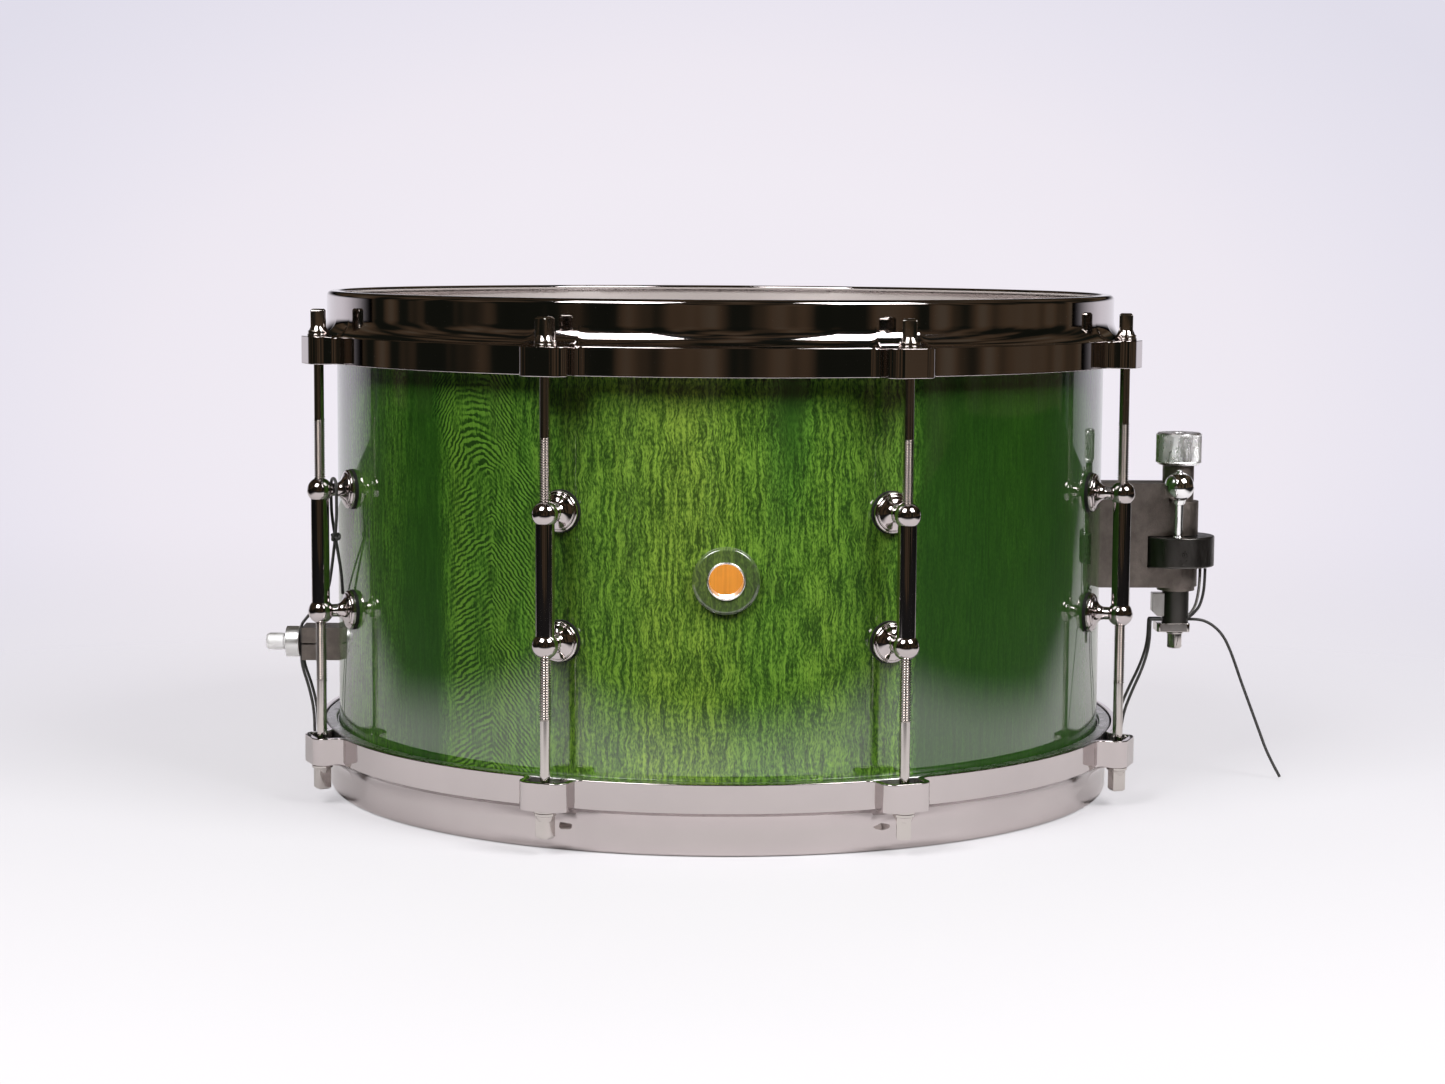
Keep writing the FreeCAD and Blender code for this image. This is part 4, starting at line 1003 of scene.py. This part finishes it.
def hoop_section(place, outward):
    """The pressed sheet's section where the hoop's outline passes a place."""
    shoulder = 0.6
    sheet = HOOP_SHEET
    lip = sheet / 2
    under = BEND_RADIUS + sheet
    inner_wall = HOOP_WALL_RADIUS - sheet
    centre = HOOP_WALL_RADIUS + BEND_RADIUS
    edge_in = place - outward * shoulder
    skirt_in = place - outward * sheet
    plain = math.acos((centre - SKIRT_RADIUS + shoulder) / BEND_RADIUS)
    bend = math.acos(max(0.0, (centre - edge_in.length) / BEND_RADIUS))
    under_bend = math.acos(max(0.0, (centre - skirt_in.length) / under))
    ear_share = (bend - plain) / (math.pi / 2 - plain)
    drop = (BEND_START + BEND_RADIUS - FLANGE_DEPTH) * ear_share
    flange = BEND_START + (BEND_RADIUS - drop) * math.sin(bend)

    def on_ring(toward, route):
        """Places of a radius and a depth, on the line from the drum's axis towards a point."""
        return [Vector((*(toward.normalized() * r), TOTAL_HEIGHT - depth)) for r, depth in route]

    def on_skirt(route):
        """Places of an inset from the outline and a depth."""
        return [Vector((*(place - outward * inset), TOTAL_HEIGHT - depth)) for inset, depth in route]

    def bent(radius, angles):
        """One side of the sheet's bend from wall to flange."""
        return [(centre - radius * math.cos(a), BEND_START + (radius - drop) * math.sin(a))
                for a in angles]

    top = [(r, -up) for r, up in arc((inner_wall, -sheet), sheet, 90, 0, 7)]
    wall = [(HOOP_WALL_RADIUS, sheet + 0.4), (HOOP_WALL_RADIUS, BEND_START - 0.4)]
    upper_bend = bent(BEND_RADIUS, [bend * k / 14 for k in range(15)])
    corner = rounded([(shoulder + 0.02, flange), (0.0, flange + 0.38 * (1 - ear_share)),
                      (0.0, flange + 1.6)], 0.7, steps=4)
    foot = rounded([(0.0, SKIRT_DEPTH - 2), (0.0, SKIRT_DEPTH), (sheet, SKIRT_DEPTH),
                    (sheet, SKIRT_DEPTH - 2)], 0.35, steps=3)[1:-1]
    lower_bend = bent(under, [under_bend * (1 - k / 8) for k in range(9)])
    lip_root = [(inner_wall, sheet + 0.5), (inner_wall - 0.5, sheet)]
    lip_edge = [(r, -up) for r, up in arc((LIP_RADIUS, -lip), lip, -90, -270, 6)]
    return (on_ring(edge_in, top + wall + upper_bend) + on_skirt(corner + foot)
            + on_ring(skirt_in, lower_bend + lip_root) + on_ring(edge_in, lip_edge))


def hoop_ring():
    """All the sections round the upper hoop."""
    ear = ear_stations()
    gap_start = math.degrees(math.atan2(ear[-1][0], -ear[-1][1]))
    plain_steps = 30
    sections = []
    for i in range(LUG_COUNT):
        turn = Matrix.Rotation(math.radians(LUG_STEP * (i + 0.5)), 2)
        for x, y, nx, ny in ear:
            sections.append(hoop_section(turn @ Vector((x, y)), turn @ Vector((nx, ny))))
        span = LUG_STEP - 2 * gap_start
        shares = [k / plain_steps for k in range(1, plain_steps)]
        for share in [0.004] + shares + [0.996]:
            a = math.radians(gap_start + span * share)
            outward = turn @ Vector((math.sin(a), -math.cos(a)))
            sections.append(hoop_section(outward * SKIRT_RADIUS, outward))
    return skin(sections, ring_closed=True, path_closed=True)


def make_hoops():
    ring = hoop_ring()
    holes = [moved(bar((0, -ROD_CIRCLE, 195), (0, -ROD_CIRCLE, 214), ROD_HOLE_RADIUS), at_lug(i))
             for i in range(LUG_COUNT)]
    upper = piece("upper_hoop", [ring], "black_nickel", stands_for=["batter_hoop"])
    carve(upper, holes)
    lower = piece("lower_hoop", [moved(ring, turned_over())], "black_nickel",
                  stands_for=["snare_hoop"])
    gates = []
    for side in (-1, 1):
        outline = rounded([(-GATE_HALF_WIDTH, GATE_BOTTOM), (GATE_HALF_WIDTH, GATE_BOTTOM),
                           (GATE_HALF_WIDTH, GATE_TOP), (-GATE_HALF_WIDTH, GATE_TOP)], 1.0, closed=True)
        gates.append(skin([[(side * x, y, z) for y, z in outline] for x in (165, 186.9)], capped=True))
    carve(lower, [moved(hole, turned_over()) for hole in holes] + gates)


# ======== lugs and rods ========
def on_rod_axis(part, height=0.0):
    """A part about the Z axis, moved to the rod at the front."""
    return moved(part, Matrix.Translation((0, -ROD_CIRCLE, height)))


def lug_post(height):
    """Stepped foot, flared stem and bored ball, along the radius at the front."""
    profile = [(0.0, 0.0)] + rounded([
        (2.0, 0.0), (POST_FOOT_RADIUS, 0.0), (POST_FOOT_RADIUS, 1.6), (8.0, 2.2), (7.4, 2.2), (7.2, 2.7),
        (6.7, 2.9)], 0.35)
    flare = [(6.7 - 3.85 * (1 - (1 - t) ** 2.6), 2.9 + 4.7 * t ** 1.25)
             for t in (k / 12 for k in range(1, 13))]
    profile += flare + [(2.85, 11.0), (0.0, 11.0)]
    stem = moved(lathe(profile, 64), along((0, -POST_FOOT, height), (0, -1, 0)))
    opening = math.degrees(math.acos(LUG_BORE / BALL_RADIUS))
    ball = [(LUG_BORE, 4.4), (LUG_BORE, -4.4)] + arc((0, 0), BALL_RADIUS, opening, -opening, 28)
    return [stem, on_rod_axis(lathe(ball, 56, closed=True), height)]


def make_lugs():
    low = MIDDLE - BALL_SPREAD
    high = MIDDLE + BALL_SPREAD
    shaft = lathe([(LUG_BORE, low), (TUBE_RADIUS, low), (TUBE_RADIUS, high), (LUG_BORE, high)], 48,
                  closed=True)
    parts = lug_post(low) + lug_post(high) + [on_rod_axis(shaft)]
    for i in range(LUG_COUNT):
        piece(f"lug_{i + 1}_posts_and_tube", [moved(part, at_lug(i)) for part in parts],
              "black_nickel", stands_for=[f"lug_{i + 1}"])


def tension_rod(turn):
    """Square-headed rod of the upper hoop, at the front."""
    seat = TOTAL_HEIGHT - FLANGE_DEPTH + WASHER_THICKNESS + HEAD_CLEARANCE
    thread_end = MIDDLE + THREAD_END
    cone = seat + HEAD_FLANGE_HEIGHT
    cone_top = cone + HEAD_CONE_HEIGHT
    half = HEAD_SQUARE / 2
    flange = rounded([(0, seat), (HEAD_FLANGE_RADIUS, seat), (HEAD_FLANGE_RADIUS, cone),
                      (HEAD_FLANGE_RADIUS - 0.5, cone + 0.15), (half + 0.1, cone_top),
                      (0, cone_top + 0.4)], 0.35)
    top = seat + HEAD_HEIGHT
    square = square_bar([(seat + 1, half), (top - 0.95, half), (top - 0.75, half - 0.05),
                         (top - 0.15, half - 0.6), (top, half - 0.85)])
    square = moved(square, Matrix.Rotation(math.radians(turn), 4, "Z"))
    shank = rounded([(0, thread_end - 1.0), (SHANK_RADIUS, thread_end - 1.0), (SHANK_RADIUS, seat + 0.5),
                     (0, seat + 0.5)], 0.25)
    thread = helical_thread(MIDDLE + BALL_SPREAD + 3.0, thread_end, THREAD_ROOT)
    return [on_rod_axis(part) for part in (lathe(flange, 40), square, lathe(shank, 32), thread)]


def make_rods():
    over = turned_over()
    for i in range(LUG_COUNT):
        for side, head, turn, place in (("upper", "batter", TOP_HEAD_TURN[i], at_lug(i)),
                                        ("lower", "snare", BOTTOM_HEAD_TURN[i], at_lug(i) @ over)):
            rod = f"{head}_rod_{i + 1}"
            piece(f"{side}_rod_{i + 1}", [moved(part, place) for part in tension_rod(turn)], "rod_metal",
                  body=rod, stands_for=[rod])
    seat = TOTAL_HEIGHT - FLANGE_DEPTH
    washer = ring_part(SHANK_RADIUS + 0.4, WASHER_RADIUS, seat, seat + WASHER_THICKNESS, 0.3, 40)
    washers = [moved(on_rod_axis(washer), at_lug(i)) for i in range(LUG_COUNT)]
    piece("upper_washers", washers, "rod_metal", stands_for=["batter_rod_washers"])
    piece("lower_washers", [moved(part, over) for part in washers], "rod_metal",
          stands_for=["snare_rod_washers"])


# ======== strainer ========
def on_piston(part):
    return moved(part, Matrix.Translation((PISTON_AXIS, 0, 0)))


def lever_root(height):
    """Point at the lever's foot, on its line up to the ball."""
    a = math.radians(LEVER_REST_ANGLE)
    rise = (height - COLLAR_TOP) / (LEVER_BALL_HEIGHT - COLLAR_TOP)
    reach = LEVER_ROOT_RADIUS + rise * (LEVER_BALL_REACH - LEVER_ROOT_RADIUS)
    return Vector((PISTON_AXIS + reach * math.sin(a), -reach * math.cos(a), height))


def make_collar_and_lever():
    collar = ring_part(GUIDE_RADIUS, COLLAR_OUTER, COLLAR_BOTTOM, COLLAR_TOP, 0.8, 96)
    piece("turning_collar", [on_piston(collar)], "dark_collar_metal", body="lever",
          stands_for=["release_collar"])
    foot = lever_root(COLLAR_TOP - 3)
    tip = lever_root(LEVER_BALL_HEIGHT)
    length = (tip - foot).length
    r = LEVER_STEM_RADIUS
    end = length - LEVER_BALL_RADIUS + 1.5
    stem = rounded([(0, 0), (r + 0.5, 0), (r + 0.5, 3.6), (r, 4.2), (r, end), (0, end)], 0.4)
    piece("lever_stem", [moved(lathe(stem, 40), along(foot, tip - foot))], "chrome",
          body="lever", stands_for=["release_lever"])
    big = LEVER_BALL_RADIUS
    socket = rounded([(r + 0.2, -big - 1.6), (2.9, -big - 1.3), (3.1, -big - 0.2)], 0.3)
    nub = rounded([(1.3, big - 0.1), (1.3, big + 0.9), (0, big + 0.9)], 0.35)
    profile = [(0, -big - 1.6)] + socket + arc((0, 0), big, -60, 78, 26) + nub
    piece("lever_ball_knob", [moved(lathe(profile, 56), along(tip, tip - foot))], "chrome",
          body="lever", stands_for=["lever_ball"])


def knurled(radius, low, high, depth, around=56, rows_per_mm=5.0):
    """A band of diamond knurling about the Z axis."""
    columns = around * 6
    rows = round((high - low) * rows_per_mm)
    pitch = 2 * math.pi * radius / around
    rings = []
    for j in range(rows + 1):
        z = low + (high - low) * j / rows
        fade = min(1.0, (z - low) / 0.5, (high - z) / 0.5)
        ring = []
        for i in range(columns):
            a = 2 * math.pi * i / columns
            turns = a * around / (2 * math.pi)
            one = abs((turns + z / pitch) % 1 - 0.5) * 2
            two = abs((turns - z / pitch) % 1 - 0.5) * 2
            r = radius - depth * fade * (1 - min(one, two))
            ring.append((r * math.cos(a), r * math.sin(a), z))
        rings.append(ring)
    return skin(rings, capped=True)


def make_tension_knob():
    low = KNOB_BOTTOM + 1.3
    high = KNOB_TOP - 0.7
    band = knurled(KNOB_RADIUS, low, high, 0.4)
    rim = KNOB_RADIUS - 0.3
    foot = rounded([(0, KNOB_BOTTOM), (rim - 1.1, KNOB_BOTTOM), (rim, low + 0.05), (0, low + 0.1)], 0.3)
    crown = rounded([(0, high - 0.1), (rim, high - 0.05), (rim - 0.6, KNOB_TOP), (3.2, KNOB_TOP),
                     (2.9, KNOB_TOP - 0.5), (0, KNOB_TOP - 0.5)], 0.2)
    piece("knurled_knob", [on_piston(part) for part in (band, lathe(foot, 72), lathe(crown, 72))],
          "knurled_aluminium", body="knob", stands_for=["tension_knob"],
          sharp=25.0)


def make_piston():
    r = PISTON_RADIUS
    bottom = PISTON_BOTTOM
    profile = rounded([(0, bottom), (r, bottom), (r, bottom + 16.5), (r - 0.25, bottom + 16.7),
                       (r - 0.25, bottom + 17.3), (r, bottom + 17.5), (r, PISTON_TOP),
                       (0, PISTON_TOP)], 0.3)
    piece("piston_plunger", [on_piston(lathe(profile, 72))], "dark_collar_metal", body="plunger",
          stands_for=["piston"])
    seat = CLAMP_PLATE_BOTTOM
    low = CLAMP_SCREW_BOTTOM
    flange = rounded([(0, seat - 1.4), (3.8, seat - 1.4), (4.0, seat - 1.0), (4.0, seat),
                      (0, seat)], 0.25)
    head = square_bar([(low, 1.9), (low + 0.15, 2.2), (low + 0.6, 2.5), (seat - 1.2, 2.5)])
    head = moved(head, Matrix.Rotation(math.radians(38), 4, "Z"))
    piece("clamp_screw_head", [on_piston(lathe(flange, 40)), on_piston(head)], "rod_metal",
          body="plunger", stands_for=["clamp_screw"])


# ======== butt plate ========
def make_butt_clamp():
    outward = along((0, 0, BUTT_HEIGHT), (-1, 0, 0))
    inner = -DISC_INNER
    outer = -DISC_OUTER
    disc = rounded([(THUMB_SCREW_RADIUS, inner), (DISC_RADIUS, inner), (DISC_RADIUS, outer),
                    (DISC_RADIUS - 1.2, outer), (DISC_RADIUS - 1.4, outer - 0.25),
                    (THUMB_SCREW_RADIUS, outer - 0.25)], 0.5, closed=True)
    piece("butt_washer", [moved(lathe(disc, 64, closed=True), outward)], "satin",
          stands_for=["butt_clamp_disc"])
    end = -THUMB_KNOB_END
    knob = rounded([(0, inner - 11), (THUMB_SCREW_RADIUS, inner - 11), (THUMB_SCREW_RADIUS, outer - 0.1),
                    (3.0, outer - 0.1), (3.0, outer + 1.1), (3.85, outer + 1.2), (4.0, outer + 1.6),
                    (4.0, end - 1.6), (3.2, end - 0.3), (0, end)], 1.1, steps=6)
    piece("butt_knob", [moved(lathe(knob, 56), outward)], "bright_knob",
          body="butt_screw", stands_for=["butt_thumb_screw"])


# ======== snares ========
def make_snare_wires():
    """Twenty coiled strands."""
    turns = 2 * WIRE_HALF_LENGTH / COIL_TURN
    per_turn = 8
    path = []
    for k in range(round(turns * per_turn) + 1):
        a = 2 * math.pi * k / per_turn
        path.append((k / per_turn * COIL_TURN - WIRE_HALF_LENGTH,
                     (COIL_RADIUS - COIL_WIRE_RADIUS) * math.cos(a),
                     (COIL_RADIUS - COIL_WIRE_RADIUS) * math.sin(a) + WIRE_HEIGHT))
    strand = tube(path, COIL_WIRE_RADIUS, sides=3)
    first = -WIRE_PITCH * (WIRE_COUNT - 1) / 2
    strands = [moved(strand, Matrix.Translation((0, first + WIRE_PITCH * i, 0)))
               for i in range(WIRE_COUNT)]
    piece("snare_coils", strands, "snare_steel", stands_for=["snare_wires"], sharp=80.0)


# ======== CAD nodes that keep their shape ========
PLAIN_NODES = {
    "plain_steel": ("lug_screws", "lug_screw_washers", "mount_screws", "cam_follower", "adjusting_screw",
                    "cord_jaw", "snare_end_plates"),
    "blasted_metal": ("strainer_body", "butt_block"),
    "gasket_rubber": ("lug_gaskets",),
    "rod_metal": ("clamp_plate",)}
EASED_EDGES = {"strainer_body": 0.45, "butt_block": 0.4, "cord_jaw": 0.3, "clamp_plate": 0.35,
               "snare_end_plates": 0.25}


def dress_nodes():
    """Materials for the CAD nodes that show as they are."""
    for look, names in PLAIN_NODES.items():
        for name in names:
            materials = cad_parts[name].data.materials
            materials.clear()
            materials.append(LOOKS[look])


def ease_edges():
    """Small bevels on the milled CAD nodes, after joining the flats that were cut into triangles."""
    for name, width in EASED_EDGES.items():
        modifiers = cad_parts[name].modifiers
        modifiers.new("weld", "WELD").merge_threshold = 0.002 * MM
        flatten = modifiers.new("flatten", "DECIMATE")
        flatten.decimate_type = "DISSOLVE"
        flatten.angle_limit = math.radians(1.0)
        ease = modifiers.new("ease", "BEVEL")
        ease.width = width * MM
        ease.segments = 3
        ease.limit_method = "ANGLE"
        ease.angle_limit = math.radians(40)
        ease.harden_normals = True


make_camera()
LOOKS = make_looks()
make_strainer_cord()
make_strainer_tails()
make_butt_cord()
make_world()
make_lights()
make_stage()
make_shell()
make_heads()
make_vent()
make_hoops()
make_lugs()
make_rods()
make_collar_and_lever()
make_tension_knob()
make_piston()
make_butt_clamp()
make_snare_wires()
dress_nodes()
ease_edges()
bpy.context.scene.view_settings.view_transform = "Standard"
